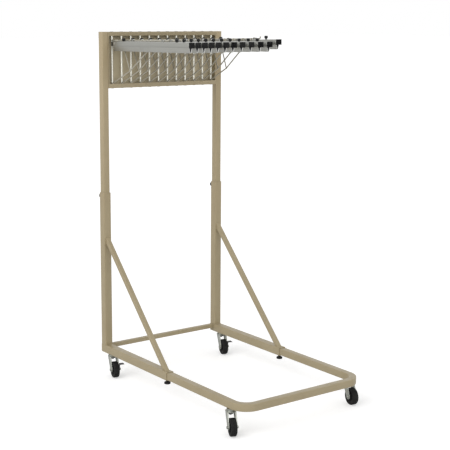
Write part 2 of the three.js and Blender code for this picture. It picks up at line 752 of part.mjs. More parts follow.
// A fork leg is a plate with its edges turned in towards the wheel.
function legSide(edge, top) {
  return outline([
    [CROWN_BACK - edge, top],
    [-CROWN_FRONT + edge, top],
    ...roundAbout(CHEEK_ROUND - edge, CHEEK_START_DEGREES, CHEEK_END_DEGREES),
  ]);
}

const legs = cut(
  join(
    across(legSide(0, crownTop), -cheekOut, -cheekIn),
    across(legSide(0, crownTop), cheekIn, cheekOut),
  ),
  across(legSide(CHEEK, crownTop - CROWN_PLATE), -cheekSheet, cheekSheet),
);

function onAxle(dia, x0, x1, sides) {
  return crossBar(dia / 2, x0, x1, sides).translate(0, -TRAIL, axleZ);
}

function casterFork(tubeBottom, leverSpace) {
  const nutIn = cheekOut + leverSpace;
  return join(
    bar(STEM_DIA / 2, crownTop, tubeBottom + STEM_RISE, STEM_SIDES),
    bar(KINGPIN_NUT / 2, crownTop - CROWN_PLATE - KINGPIN_DROP, crownTop, NUT_SIDES),
    bar(CAP_DIA / 2, crownTop + RACE_HEIGHT - OVERRUN, tubeBottom - GAP, RACE_SIDES),
    bar(RACE_DIA / 2, crownTop - OVERRUN, crownTop + RACE_HEIGHT, RACE_SIDES),
    box(-cheekOut, cheekOut, -CROWN_FRONT, CROWN_BACK, crownTop - CROWN_PLATE, crownTop),
    legs,
    onAxle(AXLE_DIA, -cheekOut - OVERRUN, nutIn + OVERRUN, AXLE_SIDES),
    onAxle(NUT_DIA, -cheekOut - NUT, -cheekOut + OVERRUN, NUT_SIDES),
    onAxle(NUT_DIA, nutIn, nutIn + NUT, NUT_SIDES),
    onAxle(AXLE_DIA, nutIn - OVERRUN, nutIn + NUT + OVERRUN, AXLE_SIDES),
  );
}

const wheelHalf = WHEEL_WIDTH / 2;
const wheelRadius = WHEEL_DIA / 2;
const wheelBore = (AXLE_DIA / 2 + AXLE_CLEAR) / Math.cos(Math.PI / WHEEL_SIDES);
const shoulder = TREAD_ROUND * (1 - Math.SQRT1_2);
const wheel = turned([
  [wheelBore, -wheelHalf],
  [wheelRadius - TREAD_ROUND, -wheelHalf],
  [wheelRadius - shoulder, -wheelHalf + shoulder],
  [wheelRadius, -wheelHalf + TREAD_ROUND],
  [wheelRadius, wheelHalf - TREAD_ROUND],
  [wheelRadius - shoulder, wheelHalf - shoulder],
  [wheelRadius - TREAD_ROUND, wheelHalf],
  [wheelBore, wheelHalf],
  [wheelBore, -wheelHalf],
], WHEEL_SIDES).rotateZ(-Math.PI / 2);

// Brake lever: a plate on the axle end with a foot tab turned outward.
const leverIn = cheekOut + GAP;
const leverOut = leverIn + LEVER;
const leverTop = axleZ + LEVER_RISE;
const leverSide = outline([
  [-TRAIL + LEVER_BACK, leverTop],
  [-TRAIL - LEVER_FRONT, leverTop],
  ...roundAbout(LEVER_ROUND, 180, 360),
]);
const leverBore = (AXLE_DIA + 2 * AXLE_CLEAR) / Math.cos(Math.PI / AXLE_SIDES);
const brakeLever = cut(
  join(
    across(leverSide, leverIn, leverOut),
    box(leverIn, leverOut + LEVER_TAB, -TRAIL - LEVER_FRONT, -TRAIL + LEVER_BACK, leverTop - LEVER, leverTop),
  ),
  onAxle(leverBore, leverIn - OVERRUN, leverOut + OVERRUN, AXLE_SIDES),
);

const rearFork = casterFork(RAIL_BOTTOM, LEVER + 2 * GAP);
const frontFork = casterFork(LEG_BOTTOM, 0);
const casters = [
  ['rear_left', -POST_X, -REAR_CASTER, rearFork, true],
  ['rear_right', POST_X, -REAR_CASTER, rearFork, true],
  ['front_left', -frontCasterX, frontCasterY, frontFork, false],
  ['front_right', frontCasterX, frontCasterY, frontFork, false],
];
for (const [name, x, y, fork, braked] of casters) {
  const caster = new THREE.Group();
  caster.name = `${name}_caster`;
  caster.position.set(x, y, 0);
  caster.rotation.z = THREE.MathUtils.degToRad(HEADING[name]);
  root.add(caster);
  place(caster, `${name}_fork`, fork, ZINC);
  place(caster, `${name}_wheel`, wheel, TREAD).position.set(0, -TRAIL, axleZ);
  if (braked) {
    place(caster, `${name}_brake`, brakeLever, DARK_STEEL);
  }
}

export default root;
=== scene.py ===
import json
import bmesh
import bpy
from math import asin, atan2, cos, pi, radians, sin
from mathutils import Matrix, Vector


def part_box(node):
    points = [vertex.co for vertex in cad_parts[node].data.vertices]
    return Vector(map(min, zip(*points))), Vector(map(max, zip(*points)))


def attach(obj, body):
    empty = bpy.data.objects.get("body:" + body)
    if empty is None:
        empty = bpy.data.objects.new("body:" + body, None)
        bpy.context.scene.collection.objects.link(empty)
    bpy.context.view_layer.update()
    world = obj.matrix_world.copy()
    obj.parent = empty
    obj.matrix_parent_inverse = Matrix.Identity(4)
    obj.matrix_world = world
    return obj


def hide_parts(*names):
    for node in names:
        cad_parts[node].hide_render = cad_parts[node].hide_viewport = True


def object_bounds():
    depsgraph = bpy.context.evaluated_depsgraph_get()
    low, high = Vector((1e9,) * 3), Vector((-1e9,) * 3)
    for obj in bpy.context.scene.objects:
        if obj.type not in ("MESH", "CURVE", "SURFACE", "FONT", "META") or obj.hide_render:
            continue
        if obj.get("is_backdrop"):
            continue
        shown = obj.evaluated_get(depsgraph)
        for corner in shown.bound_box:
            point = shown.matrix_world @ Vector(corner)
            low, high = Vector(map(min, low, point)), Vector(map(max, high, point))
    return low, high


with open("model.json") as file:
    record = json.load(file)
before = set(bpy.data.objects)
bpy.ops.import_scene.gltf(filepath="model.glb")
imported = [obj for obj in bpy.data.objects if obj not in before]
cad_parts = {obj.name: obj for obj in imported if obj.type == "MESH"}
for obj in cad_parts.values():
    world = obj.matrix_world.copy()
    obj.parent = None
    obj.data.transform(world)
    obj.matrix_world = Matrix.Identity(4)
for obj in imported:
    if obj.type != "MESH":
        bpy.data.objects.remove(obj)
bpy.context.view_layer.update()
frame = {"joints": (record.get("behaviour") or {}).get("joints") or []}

# Rear base frame: two square steel side rails and a small cross rail, saw cut and welded at the corners.
# It is powder coated tan, with the fine dimple that such a coat has, and painted shade makes its tone darker
# towards the floor.
# The rails are open at the front, where the legs of the front frame slide in, and plated at the back.
X = Vector((1, 0, 0))
Y = Vector((0, 1, 0))
Z = Vector((0, 0, 1))
rail_low, rail_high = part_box("rear_base_frame")
RAIL_TUBE = rail_high.z - rail_low.z
RAIL_BORE = 0.033
CROSS_TUBE = 0.020
TUBE_CORNER = 0.003
SMALL_CORNER = 0.002
BORE_CORNER = 0.0012
FRONT_CUT = 0.0006
END_PLATE = 0.0025
PLATE_RIM = ((0.985, 0), (1, 0.0006), (1, 0.0023), (0.97, END_PLATE))
RAIL_Z = rail_low.z + RAIL_TUBE / 2
POST_X = rail_high.x - RAIL_TUBE / 2
POST_Y = rail_high.y - RAIL_TUBE / 2
COAT_CLOUDS = (7, 4)
COAT_SPECKS = (1400, 1)
COAT_SHEEN = (24, 5)
COAT_DIMPLE = (520, 2)
# The lit and shaded coat tones and the rise between them are painted shade, darker towards the floor.
COAT_LIT_TONES = ((0.378, 0.301, 0.178), (0.414, 0.335, 0.204))
COAT_SHADED_TONES = ((0.334, 0.274, 0.166), (0.366, 0.304, 0.189))
PAINTED_SHADE_RISE = (0.5, 1.3)
SPECK = (0.47, 0.40, 0.28)


def arc(middle, radius, start, end, steps):
    """Points on a circle, from one angle in degrees to another."""
    turns = [radians(start + (end - start) * i / steps) for i in range(steps + 1)]
    return [(middle[0] + radius * cos(turn), middle[1] + radius * sin(turn)) for turn in turns]


def rounded_square(size, corner, steps=4):
    """The outline of a square tube, anticlockwise."""
    reach = size / 2 - corner
    middles = ((reach, reach), (-reach, reach), (-reach, -reach), (reach, -reach))
    return [point for quarter, middle in enumerate(middles)
            for point in arc(middle, corner, 90 * quarter, 90 * quarter + 90, steps)]


def station(place, along, side, cut=None, scale=1):
    """The frame in which one outline of a run is drawn, square to the run or sheared on to a cut plane."""
    along = along.normalized()
    side = (side - along * side.dot(along)).normalized()
    across = along.cross(side)
    if cut is not None:
        side = side - along * (cut.dot(side) / cut.dot(along))
        across = across - along * (cut.dot(across) / cut.dot(along))
    matrix = Matrix((side * scale, across * scale, along)).transposed().to_4x4()
    matrix.translation = Vector(place)
    return matrix


def skin(bm, first, second):
    """The faces between two rings of points."""
    for i in range(len(first)):
        bm.faces.new((first[i - 1], first[i], second[i], second[i - 1]))


def add_run(bm, stations, outer, inner=()):
    """Draws an outline through the stations. With an inner outline the run is a tube with open ends."""
    shell, bore = ([[bm.verts.new(at @ Vector((x, y, 0))) for x, y in outline] for at in stations]
                   for outline in (outer, inner))
    for first, second in zip(shell, shell[1:]):
        skin(bm, first, second)
    for first, second in zip(bore, bore[1:]):
        skin(bm, second, first)
    if inner:
        skin(bm, bore[0], shell[0])
        skin(bm, shell[-1], bore[-1])
    else:
        bm.faces.new(shell[0][::-1])
        bm.faces.new(shell[-1])


def close_mesh(bm, crease=38):
    """Merges doubles, turns the faces outwards and keeps edges sharper than the crease angle."""
    bmesh.ops.remove_doubles(bm, verts=bm.verts, dist=1e-6)
    bmesh.ops.recalc_face_normals(bm, faces=bm.faces)
    mesh = bpy.data.meshes.new("shape")
    bm.to_mesh(mesh)
    bm.free()
    mesh.shade_smooth()
    mesh.set_sharp_from_angle(angle=radians(crease))
    return mesh


def add_object(name, data):
    """A new object in the scene."""
    thing = bpy.data.objects.new(name, data)
    bpy.context.scene.collection.objects.link(thing)
    return thing


def fit_piece(name, mesh, finish, body, slot, *nodes):
    """Puts a mesh in the scene with its finish, and ties it to its body and the CAD nodes it stands for. The
    slot is not used.
    """
    mesh.name = name
    mesh.materials.clear()
    mesh.materials.append(finish.material)
    piece = add_object(name, mesh)
    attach(piece, body)
    if nodes:
        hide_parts(*nodes)


def set_inputs(node, inputs):
    """Sets a node's inputs. A node, or a node with one of its outputs, is linked to the input."""
    for socket, value in inputs.items():
        if isinstance(value, bpy.types.Node):
            value = (value, 0)
        if isinstance(value, tuple) and isinstance(value[0], bpy.types.Node):
            node.id_data.links.new(value[0].outputs[value[1]], node.inputs[socket])
        else:
            node.inputs[socket].default_value = value


def add_node(tree, kind, inputs=None, **choices):
    """A new node with its choices made and its inputs set."""
    node = tree.nodes.new(kind)
    for choice, value in choices.items():
        setattr(node, choice, value)
    set_inputs(node, inputs or {})
    return node


class Finish:
    """A material whose colour, roughness and relief come from patterns on the piece's own coordinates."""

    def __init__(self, name, metallic, specular=0.5):
        self.material = bpy.data.materials.new(name)
        self.material.use_nodes = True
        self.tree = self.material.node_tree
        self.shader = self.tree.nodes["Principled BSDF"]
        set_inputs(self.shader, {"Metallic": metallic, "Specular IOR Level": specular})

    def add(self, kind, inputs=None, **choices):
        """A new shader node of the finish."""
        return add_node(self.tree, "ShaderNode" + kind, inputs, **choices)

    def noise(self, scale, detail, stretch=(1, 1, 1), source="Object"):
        """A noise pattern, stretched where the making left lines."""
        mapping = self.add("Mapping", {"Vector": (self.add("TexCoord"), source), "Scale": stretch})
        return self.add("TexNoise", {"Vector": mapping, "Scale": scale, "Detail": detail, "Roughness": 0.55})

    def ramp(self, factor, low, high, start=0.3, end=0.7):
        """Takes a factor from start to end on to a range of numbers."""
        ends = {"From Min": start, "From Max": end, "To Min": low, "To Max": high}
        return self.add("MapRange", {"Value": factor, **ends})

    def tint(self, factor, first, second):
        """A colour between two tones, each a colour or another tint."""
        first, second = ((*tone, 1) if len(tone) == 3 else tone for tone in (first, second))
        return self.add("Mix", {0: factor, 6: first, 7: second}, data_type="RGBA"), 2

    def mottle(self, pattern, first, second, most=1, start=0.3, end=0.7):
        """Two tones mixed by a noise pattern, which brings in the second one up to a most."""
        return self.tint(self.ramp(self.noise(*pattern), 0, most, start, end), first, second)

    def fade(self, axis, span, first, second):
        """The first tone below a span of one of the piece's own axes, and the second above it."""
        parts = self.add("SeparateXYZ", {"Vector": (self.add("TexCoord"), "Object")})
        return self.tint(self.ramp((parts, axis), 0, 1, *span), first, second)

    def mark(self, name):
        """A number that the piece's faces carry."""
        return self.add("Attribute", attribute_name=name), "Fac"

    def dress(self, colour, sheen, relief, depth, strength):
        """Gives the shader its colour, a pattern of roughness from smooth to dull, and one of relief."""
        pattern, smooth, dull = sheen
        roughness = self.ramp(self.noise(*pattern), smooth, dull)
        bump = self.add("Bump", {"Height": self.noise(*relief), "Distance": depth, "Strength": strength})
        set_inputs(self.shader, {"Base Color": colour, "Roughness": roughness, "Normal": bump})


def speckled(finish, tone):
    """A coat's tone with pale specks."""
    return finish.mottle(COAT_SPECKS, tone, SPECK, most=0.5, start=0.56, end=0.72)


def powder_coat(finish, colour, smooth, dull):
    """Gives a coat its colour, its uneven sheen and its fine dimple."""
    finish.dress(colour, (COAT_SHEEN, smooth, dull), COAT_DIMPLE, depth=0.0003, strength=0.35)


tan_coat = Finish("tan_powder_coat", metallic=0, specular=0.42)
# Painted shade: the tone is darker near the floor and lighter above, standing in for the light falling from
# above.
lit_speckled_coat = speckled(tan_coat, tan_coat.mottle(COAT_CLOUDS, *COAT_LIT_TONES))
painted_shade_coat = tan_coat.mottle(COAT_CLOUDS, *COAT_SHADED_TONES)
powder_coat(tan_coat, tan_coat.fade("Z", PAINTED_SHADE_RISE, painted_shade_coat, lit_speckled_coat), 0.30, 0.44)

rails = bmesh.new()
rail_outer = rounded_square(RAIL_TUBE, TUBE_CORNER)
rail_inner = rounded_square(RAIL_BORE, BORE_CORNER)
rail_back = rail_high.y - END_PLATE
for side in (-1, 1):
    ends = [(side * POST_X, y, RAIL_Z) for y in (rail_back, rail_low.y + FRONT_CUT)]
    add_run(rails, [station(end, -Y, X) for end in ends], rail_outer, rail_inner)
    plate = [((side * POST_X, rail_back + depth, RAIL_Z), scale) for scale, depth in PLATE_RIM]
    add_run(rails, [station(place, Y, X, scale=scale) for place, scale in plate], rail_outer)
cross_z = rail_high.z - CROSS_TUBE / 2
cross_ends = [(side * (POST_X - RAIL_TUBE / 2), POST_Y, cross_z) for side in (-1, 1)]
add_run(rails, [station(end, X, Y) for end in cross_ends], rounded_square(CROSS_TUBE, SMALL_CORNER))
fit_piece("rear_frame_tubes", close_mesh(rails), tan_coat, "base", "powder_coat", "rear_base_frame")

# Lower posts: square tubes of the rails' size, welded upright on the back ends of the rails.
# They are open at the top, as the upper posts slide down into them.
sleeves = bmesh.new()
sleeve_low, sleeve_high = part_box("left_lower_post")
for side in (-1, 1):
    rise = [(side * POST_X, POST_Y, z) for z in (sleeve_low.z, sleeve_high.z)]
    add_run(sleeves, [station(end, Z, X) for end in rise], rail_outer, rail_inner)
fit_piece("sleeve_posts", close_mesh(sleeves), tan_coat, "base", "powder_coat",
          "left_lower_post", "right_lower_post")

# Braces: small square tubes from the rails to the fronts of the lower posts, with both ends cut flush.
# They keep the posts upright while the loaded mast leans on them, and are welded all round.
brace_low, brace_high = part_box("left_brace")
BRACE_TUBE = brace_high.x - brace_low.x
BRACE_TOP = 0.649
BRACE_REACH = 0.505
brace_head = Vector((0, POST_Y - RAIL_TUBE / 2, BRACE_TOP))
brace_foot = Vector((0, POST_Y - BRACE_REACH, rail_high.z))


def brace_ends(side):
    """The two cut ends of a brace: flat on its rail, and upright on its post."""
    return [station(place + X * side * POST_X, brace_head - brace_foot, X, cut)
            for place, cut in ((brace_foot, Z), (brace_head, Y))]


braces = bmesh.new()
for side in (-1, 1):
    add_run(braces, brace_ends(side), rounded_square(BRACE_TUBE, SMALL_CORNER))
fit_piece("brace_tubes", close_mesh(braces), tan_coat, "base", "powder_coat", "left_brace", "right_brace")

# Frame welds: rows of small overlapping beads where the tubes of the rear frame meet, under the same coat.
# One run goes round each brace end and each cross rail end, and one across the foot of each post.
BEAD_PITCH = 0.0021
BEAD_RADIUS = 0.0017
BEAD_LEAST = 0.8
BEAD_MOST = 1.15
FOOT_WELD = 0.0165


def path_mesh(paths, closed=False):
    """Polylines as bare edges, for a form to follow."""
    mesh = bpy.data.meshes.new("path")
    points, edges = [], []
    for path in paths:
        first = len(points)
        points.extend(path)
        edges.extend((i, i + 1) for i in range(first, len(points) - 1))
        if closed:
            edges.append((len(points) - 1, first))
    mesh.from_pydata(points, edges, [])
    return mesh


def applied(carrier):
    """The plain mesh that an object's modifier makes of it. The object is removed."""
    made = bpy.data.meshes.new_from_object(carrier.evaluated_get(bpy.context.evaluated_depsgraph_get()))
    bpy.data.objects.remove(carrier)
    return made


class Form:
    """A Geometry Nodes tree with named inputs for its sizes and its finish."""

    def __init__(self, name, sizes):
        self.tree = bpy.data.node_groups.new(name, "GeometryNodeTree")
        self.socket("Geometry", "Geometry")
        for label, value in sizes.items():
            self.socket(label, "Int" if isinstance(value, int) else "Float").default_value = value
        self.socket("Finish", "Material")
        self.socket("Geometry", "Geometry", "OUTPUT")
        self.start = self.tree.nodes.new("NodeGroupInput")

    def socket(self, label, kind, side="INPUT"):
        """A named input or output of the tree."""
        return self.tree.interface.new_socket(label, in_out=side, socket_type="NodeSocket" + kind)

    def add(self, kind, inputs, family="GeometryNode", **choices):
        """A new node of the tree. A name among its inputs stands for the tree's own input of that name."""
        inputs = {socket: (self.start, value) if isinstance(value, str) else value
                  for socket, value in inputs.items()}
        return add_node(self.tree, family + kind, inputs, **choices)

    def end(self, shape):
        """Closes the tree: instances made real, smooth faces, and the finish."""
        real = self.add("RealizeInstances", {"Geometry": shape})
        smooth = self.add("SetShadeSmooth", {0: real})
        coat = self.add("SetMaterial", {"Geometry": smooth, "Material": "Finish"})
        self.add("Output", {"Geometry": coat}, "NodeGroup")

    def grow(self, mesh, finish, crease=180, **sizes):
        """Runs the tree on a mesh and returns the plain mesh that it makes, sharp above the crease angle."""
        carrier = add_object("carrier", mesh)
        form = carrier.modifiers.new("form", "NODES")
        form.node_group = self.tree
        given = {"Finish": finish.material, **sizes}
        for item in self.tree.interface.items_tree:
            if item.in_out == "INPUT" and item.name in given:
                form[item.identifier] = given[item.name]
        grown = applied(carrier)
        if crease < 180:
            grown.set_sharp_from_angle(angle=radians(crease))
        return grown


weld_form = Form("weld_run", {"Pitch": BEAD_PITCH, "Radius": BEAD_RADIUS, "Seed": 4})
path = weld_form.add("MeshToCurve", {0: "Geometry"})
steps = weld_form.add("ResampleCurve", {"Curve": path, "Length": "Pitch"}, mode="LENGTH")
bead = weld_form.add("MeshIcoSphere", {"Radius": "Radius", "Subdivisions": 1})
size = weld_form.add("RandomValue", {2: BEAD_LEAST, 3: BEAD_MOST, "Seed": "Seed"}, "FunctionNode",
                     data_type="FLOAT")
weld_form.end(weld_form.add("InstanceOnPoints", {"Points": steps, "Instance": bead, "Scale": (size, 1)}))

weld_loops = []
for side, cross_end in zip((-1, 1), cross_ends):
    tube_ends = [(end, BRACE_TUBE) for end in brace_ends(side)] + [(station(cross_end, X, Y), CROSS_TUBE)]
    for end, tube in tube_ends:
        weld_loops.append([end @ Vector((x, y, 0)) for x, y in rounded_square(tube, SMALL_CORNER, 2)])
    foot = Vector((side * POST_X, POST_Y - RAIL_TUBE / 2, sleeve_low.z))
    weld_loops.append([foot + X * x for x in (-FOOT_WELD, 0, FOOT_WELD)])
welds = weld_form.grow(path_mesh(weld_loops, closed=True), tan_coat)
fit_piece("frame_welds", welds, tan_coat, "base", "powder_coat")

# Front base frame: one square tube bent to a U. Its legs slide in the side rails, so that the base
# reaches further out under the plans, and they carry the front casters just behind the bends.
FRONT_TUBE = 0.032
FRONT_BEND = 0.068
front_low, front_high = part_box("front_base_frame")
front_y = front_low.y + FRONT_TUBE / 2
front_z = front_low.z + FRONT_TUBE / 2

tube_sizes = {"Tube": FRONT_TUBE, "Corner": TUBE_CORNER, "Bend": FRONT_BEND, "Steps": 22}
tube_form = Form("bent_square_tube", tube_sizes)
path = tube_form.add("MeshToCurve", {0: "Geometry"})
bend = tube_form.add("FilletCurve", {"Curve": path, "Radius": "Bend", "Count": "Steps"}, mode="POLY")
upright = tube_form.add("SetCurveNormal", {"Curve": bend}, mode="Z_UP")
square = tube_form.add("CurvePrimitiveQuadrilateral", {"Width": "Tube", "Height": "Tube"})
rounded = tube_form.add("FilletCurve", {"Curve": square, "Radius": "Corner", "Count": 4}, mode="POLY")
tube_form.end(tube_form.add("CurveToMesh", {"Curve": upright, "Profile Curve": rounded, "Fill Caps": True}))

u_path = [(-POST_X, front_high.y, front_z), (-POST_X, front_y, front_z),
          (POST_X, front_y, front_z), (POST_X, front_high.y, front_z)]
front_tube = tube_form.grow(path_mesh([u_path]), tan_coat, crease=50)
fit_piece("front_frame_tube", front_tube, tan_coat, "front_base", "powder_coat", "front_base_frame")

# Upper posts: square tubes that slide in the sleeves, each closed at the top by a cap with eased edges.
# They have the same coat as the base, and carry the rack channel between their upper ends.
post_low, post_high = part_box("left_upper_post")
POST_TUBE = post_high.x - post_low.x
CAP_RIM = ((1, 0.0014), (0.985, 0.0004), (0.95, 0))
post_rise = [(1, post_low.z), *((scale, post_high.z - drop) for scale, drop in CAP_RIM)]
posts = bmesh.new()
for side in (-1, 1):
    rise = [station((side * POST_X, POST_Y, z), Z, X, scale=scale) for scale, z in post_rise]
    add_run(posts, rise, rounded_square(POST_TUBE, TUBE_CORNER))
fit_piece("mast_posts", close_mesh(posts), tan_coat, "mast", "powder_coat",
          "left_upper_post", "right_upper_post")

# Rack channel: sheet steel folded to a shallow pan with lips along its front, coated tan.
# A row of holes in its top and bottom takes the pivot rods of the hangers. Inside the pan the coat is
# painted paler, painted light that lifts it out of the shade of the clamps over it, and a darker strip under
# the top lip is painted shade.
pan_low, pan_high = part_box("rack_channel")
front, back, bottom, top = pan_low.y, pan_high.y, pan_low.z, pan_high.z
SHEET = 0.002
TOP_LIP = 0.018
BOTTOM_LIP = 0.020
SIDE_LIP = 0.005
FOLD = 0.003
HOLE_RADIUS = 0.0052
HOLE_DEPTH = 0.004
LIP_TONES = ((0.398, 0.326, 0.204), (0.346, 0.284, 0.173))
# The inner tones are painted light, paler than the lips.
INNER_LIT_TONES = ((0.500, 0.430, 0.288), (0.545, 0.472, 0.322))
# The strip tone and its span under the top lip are painted shade.
UNDER_LIP_SHADE_TONE = (0.385, 0.335, 0.225)
UNDER_LIP_SHADE_SPAN = (top - 0.054, top - 0.036)
joints = {joint["name"]: joint for joint in frame["joints"]}
rod_places = [Vector(joint["pos_m"]) for name, joint in joints.items() if name.startswith("swing_")]


def folded(corners, radius, steps=4):
    """An open outline with its square corners folded on a radius."""
    path = [corners[0]]
    for before, corner, after in zip(corners, corners[1:], corners[2:]):
        back_way = (Vector(before) - Vector(corner)).normalized() * radius
        on_way = (Vector(after) - Vector(corner)).normalized() * radius
        for step in range(steps + 1):
            turn = radians(90 * step / steps)
            bend = Vector(corner) + back_way + on_way - on_way * cos(turn) - back_way * sin(turn)
            path.append(tuple(bend))
    return [*path, corners[-1]]


def pan_side(inset):
    """The outline of the sheet's outside, or by its thickness further in."""
    fore, rear, low, high = front + inset, back - inset, bottom + inset, top - inset
    return folded([(fore, top - TOP_LIP), (fore, high), (rear, high), (rear, low), (fore, low),
                   (fore, bottom + BOTTOM_LIP)], FOLD - inset)


def add_bar(bm, outline, way, side, start, end):
    """An outline drawn straight along an axis, from one place to another."""
    add_run(bm, [station(way * reach, way, side) for reach in (start, end)], outline)


def cut_away(mesh, cutter):
    """Takes one closed mesh out of another."""
    body, tool = (add_object("cut", part) for part in (mesh, cutter))
    form = body.modifiers.new("cut", "BOOLEAN")
    form.operation = "DIFFERENCE"
    form.solver = "EXACT"
    form.object = tool
    left = applied(body)
    bpy.data.objects.remove(tool)
    return left


def add_turned(bm, profile, at, segments=32, flutes=0, depth=0.0, ring=False):
    """Turns a profile of (radius, height, grip) about the frame's axis, fluted where there is a grip."""
    rings = []
    for radius, height, *grip in profile:
        circle = []
        for i in range(segments):
            turn = 2 * pi * i / segments
            reach = radius - (depth * (0.5 - 0.5 * cos(flutes * turn)) if grip else 0)
            circle.append(bm.verts.new(at @ Vector((reach * cos(turn), reach * sin(turn), height))))
        rings.append(circle)
    if ring:
        rings.append(rings[0])
    for first, second in zip(rings, rings[1:]):
        skin(bm, first, second)


def turned(profile, at, segments=32, **more):
    """One profile turned to a closed mesh."""
    bm = bmesh.new()
    add_turned(bm, profile, at, segments, **more)
    return close_mesh(bm, 30)


def pin(radius, low, high, foot=None, head=None):
    """The profile of a round pin. Its foot and its head may have a rim eased by (inwards, along)."""
    start = [(radius - foot[0], low), (radius, low + foot[1])] if foot else [(radius, low)]
    end = [(radius, high - head[1]), (radius - head[0], high)] if head else [(radius, high)]
    return [(0, low), *start, *end, (0, high)]


pan = bmesh.new()
add_bar(pan, pan_side(0) + pan_side(SHEET)[::-1], X, Y, pan_low.x, pan_high.x)
holes = bmesh.new()
hole_side = pin(HOLE_RADIUS, -HOLE_DEPTH, HOLE_DEPTH)
for place in rod_places:
    for z in (top, bottom):
        add_turned(holes, hole_side, Matrix.Translation((place.x, place.y, z)), 24)
flanges = bmesh.new()
flanges.from_mesh(cut_away(close_mesh(pan, 30), close_mesh(holes)))
for side in (-1, 1):
    edge = side * pan_high.x
    wall = edge - side * SHEET
    lip = edge - side * SIDE_LIP
    flange = [(wall, back - SHEET), (edge, back - SHEET), (edge, front), (lip, front),
              (lip, front + SHEET), (wall, front + SHEET)]
    add_bar(flanges, flange, Z, X, bottom + BOTTOM_LIP, top - TOP_LIP)

pan_coat = Finish("pan_powder_coat", metallic=0, specular=0.42)
lip_tone = pan_coat.fade("Z", (bottom + BOTTOM_LIP, top - TOP_LIP), *LIP_TONES)
# Painted light: the inside of the pan is painted paler, where the clamps over it shade it.
painted_light_inner_tone = pan_coat.mottle(COAT_CLOUDS, *INNER_LIT_TONES)
# Painted shade: a darker strip under the top lip, for the shadow that the lip and the clamps cast.
painted_shade_tone = pan_coat.fade("Z", UNDER_LIP_SHADE_SPAN, painted_light_inner_tone, UNDER_LIP_SHADE_TONE)
pan_tone = pan_coat.fade("Y", (front + SHEET, front + 3 * SHEET), lip_tone, painted_shade_tone)
powder_coat(pan_coat, speckled(pan_coat, pan_tone), 0.36, 0.50)
fit_piece("rack_pan", close_mesh(flanges, 30), pan_coat, "mast", "powder_coat", "rack_channel")

# Rack welds: short upright tacks at the corners between the channel and the posts, three on each side.
# They are at the back of the channel and under its coat.
TACK = 0.020
tack_feet = (bottom + 0.012, bottom + 0.118, top - 0.032)
seams = [[(side * pan_high.x, back, foot + rise) for rise in (0, TACK / 2, TACK)]
         for side in (-1, 1) for foot in tack_feet]
fit_piece("rack_welds", weld_form.grow(path_mesh(seams), tan_coat, Seed=9), tan_coat, "mast", "powder_coat")

# Rod bushes: thin black nylon rings in the holes of the channel, top and bottom, one for each pivot rod.
# They are pressed in and keep the rods from rubbing the coat.
BUSH_RADIUS = 0.0066
BUSH_FLANGE = 0.0024
BUSH_THICK = 0.0008
NYLON_TONES = ((0.007, 0.007, 0.007), (0.014, 0.014, 0.014))
NYLON_SCUFF = (0.040, 0.040, 0.039)

nylon = Finish("black_nylon", metallic=0, specular=0.22)
nylon_tone = nylon.mottle((60, 4), *NYLON_TONES)
nylon_scuffed = nylon.mottle((420, 3), nylon_tone, NYLON_SCUFF, most=0.6, start=0.62, end=0.8)
nylon.dress(nylon_scuffed, ((90, 4), 0.48, 0.66), (900, 2), depth=0.0002, strength=0.3)

bush_form = Form("bush_row", {"Radius": BUSH_RADIUS, "Flange": BUSH_FLANGE, "Thickness": BUSH_THICK})
circle = bush_form.add("CurvePrimitiveCircle", {"Radius": "Radius", "Resolution": 24})
edge = bush_form.add("CurvePrimitiveQuadrilateral", {"Width": "Flange", "Height": "Thickness"})
ring = bush_form.add("CurveToMesh", {"Curve": circle, "Profile Curve": edge})
bush_form.end(bush_form.add("InstanceOnPoints", {"Points": "Geometry", "Instance": ring}))
bush_levels = (top + BUSH_THICK / 2, bottom - BUSH_THICK / 2)
bush_points = path_mesh([[(place.x, place.y, z)] for place in rod_places for z in bush_levels])
bushes = bush_form.grow(bush_points, nylon, crease=38)
fit_piece("rod_bushes", bushes, nylon, "mast", "black_plastic")

# Lock knobs: fluted black plastic heads moulded on steel studs. The height knobs screw through the backs of
# the sleeves on to the upper posts, and the base knobs up through the rails on to the sliding legs.
# Each profile runs from the stud along the neck and the fluted grip to the dished face.
KNOB_STUD = 0.004
KNOB_NECK = 0.0065
KNOB_SEGMENTS = 72
HEIGHT_GRIP = 0.012
BASE_GRIP = 0.0145
height_head = [(0, 0.0164), (KNOB_STUD, 0.0164), (KNOB_STUD, 0.0193), (KNOB_NECK - 0.0003, 0.0193),
               (KNOB_NECK, 0.0198), (KNOB_NECK, 0.0222), (0.0102, 0.0234), (HEIGHT_GRIP - 0.0003, 0.0246, 1),
               (HEIGHT_GRIP, 0.0256, 1), (HEIGHT_GRIP, 0.0360, 1), (HEIGHT_GRIP - 0.0004, 0.0371, 1),
               (0.0104, 0.0378), (0.0086, 0.038), (0.0080, 0.0374), (0, 0.0372)]
base_head = [(0, 0.0026), (KNOB_STUD, 0.0026), (KNOB_STUD, -0.0004), (KNOB_NECK, -0.0006),
             (KNOB_NECK, -0.0090), (0.0084, -0.0100), (0.0132, -0.0125), (BASE_GRIP - 0.0002, -0.0133, 1),
             (BASE_GRIP, -0.0142, 1), (BASE_GRIP, -0.0192, 1), (BASE_GRIP - 0.0007, -0.0204, 1),
             (0.0125, -0.021), (0.0108, -0.021), (0.0102, -0.0204), (0, -0.0202)]


def fit_knob(knob, profile, at, flutes, depth):
    """Turns a lock knob's head about its screw and fits it."""
    head = turned(profile, at, KNOB_SEGMENTS, flutes=flutes, depth=depth)
    fit_piece(f"{knob}_head", head, nylon, knob, "black_plastic", knob)


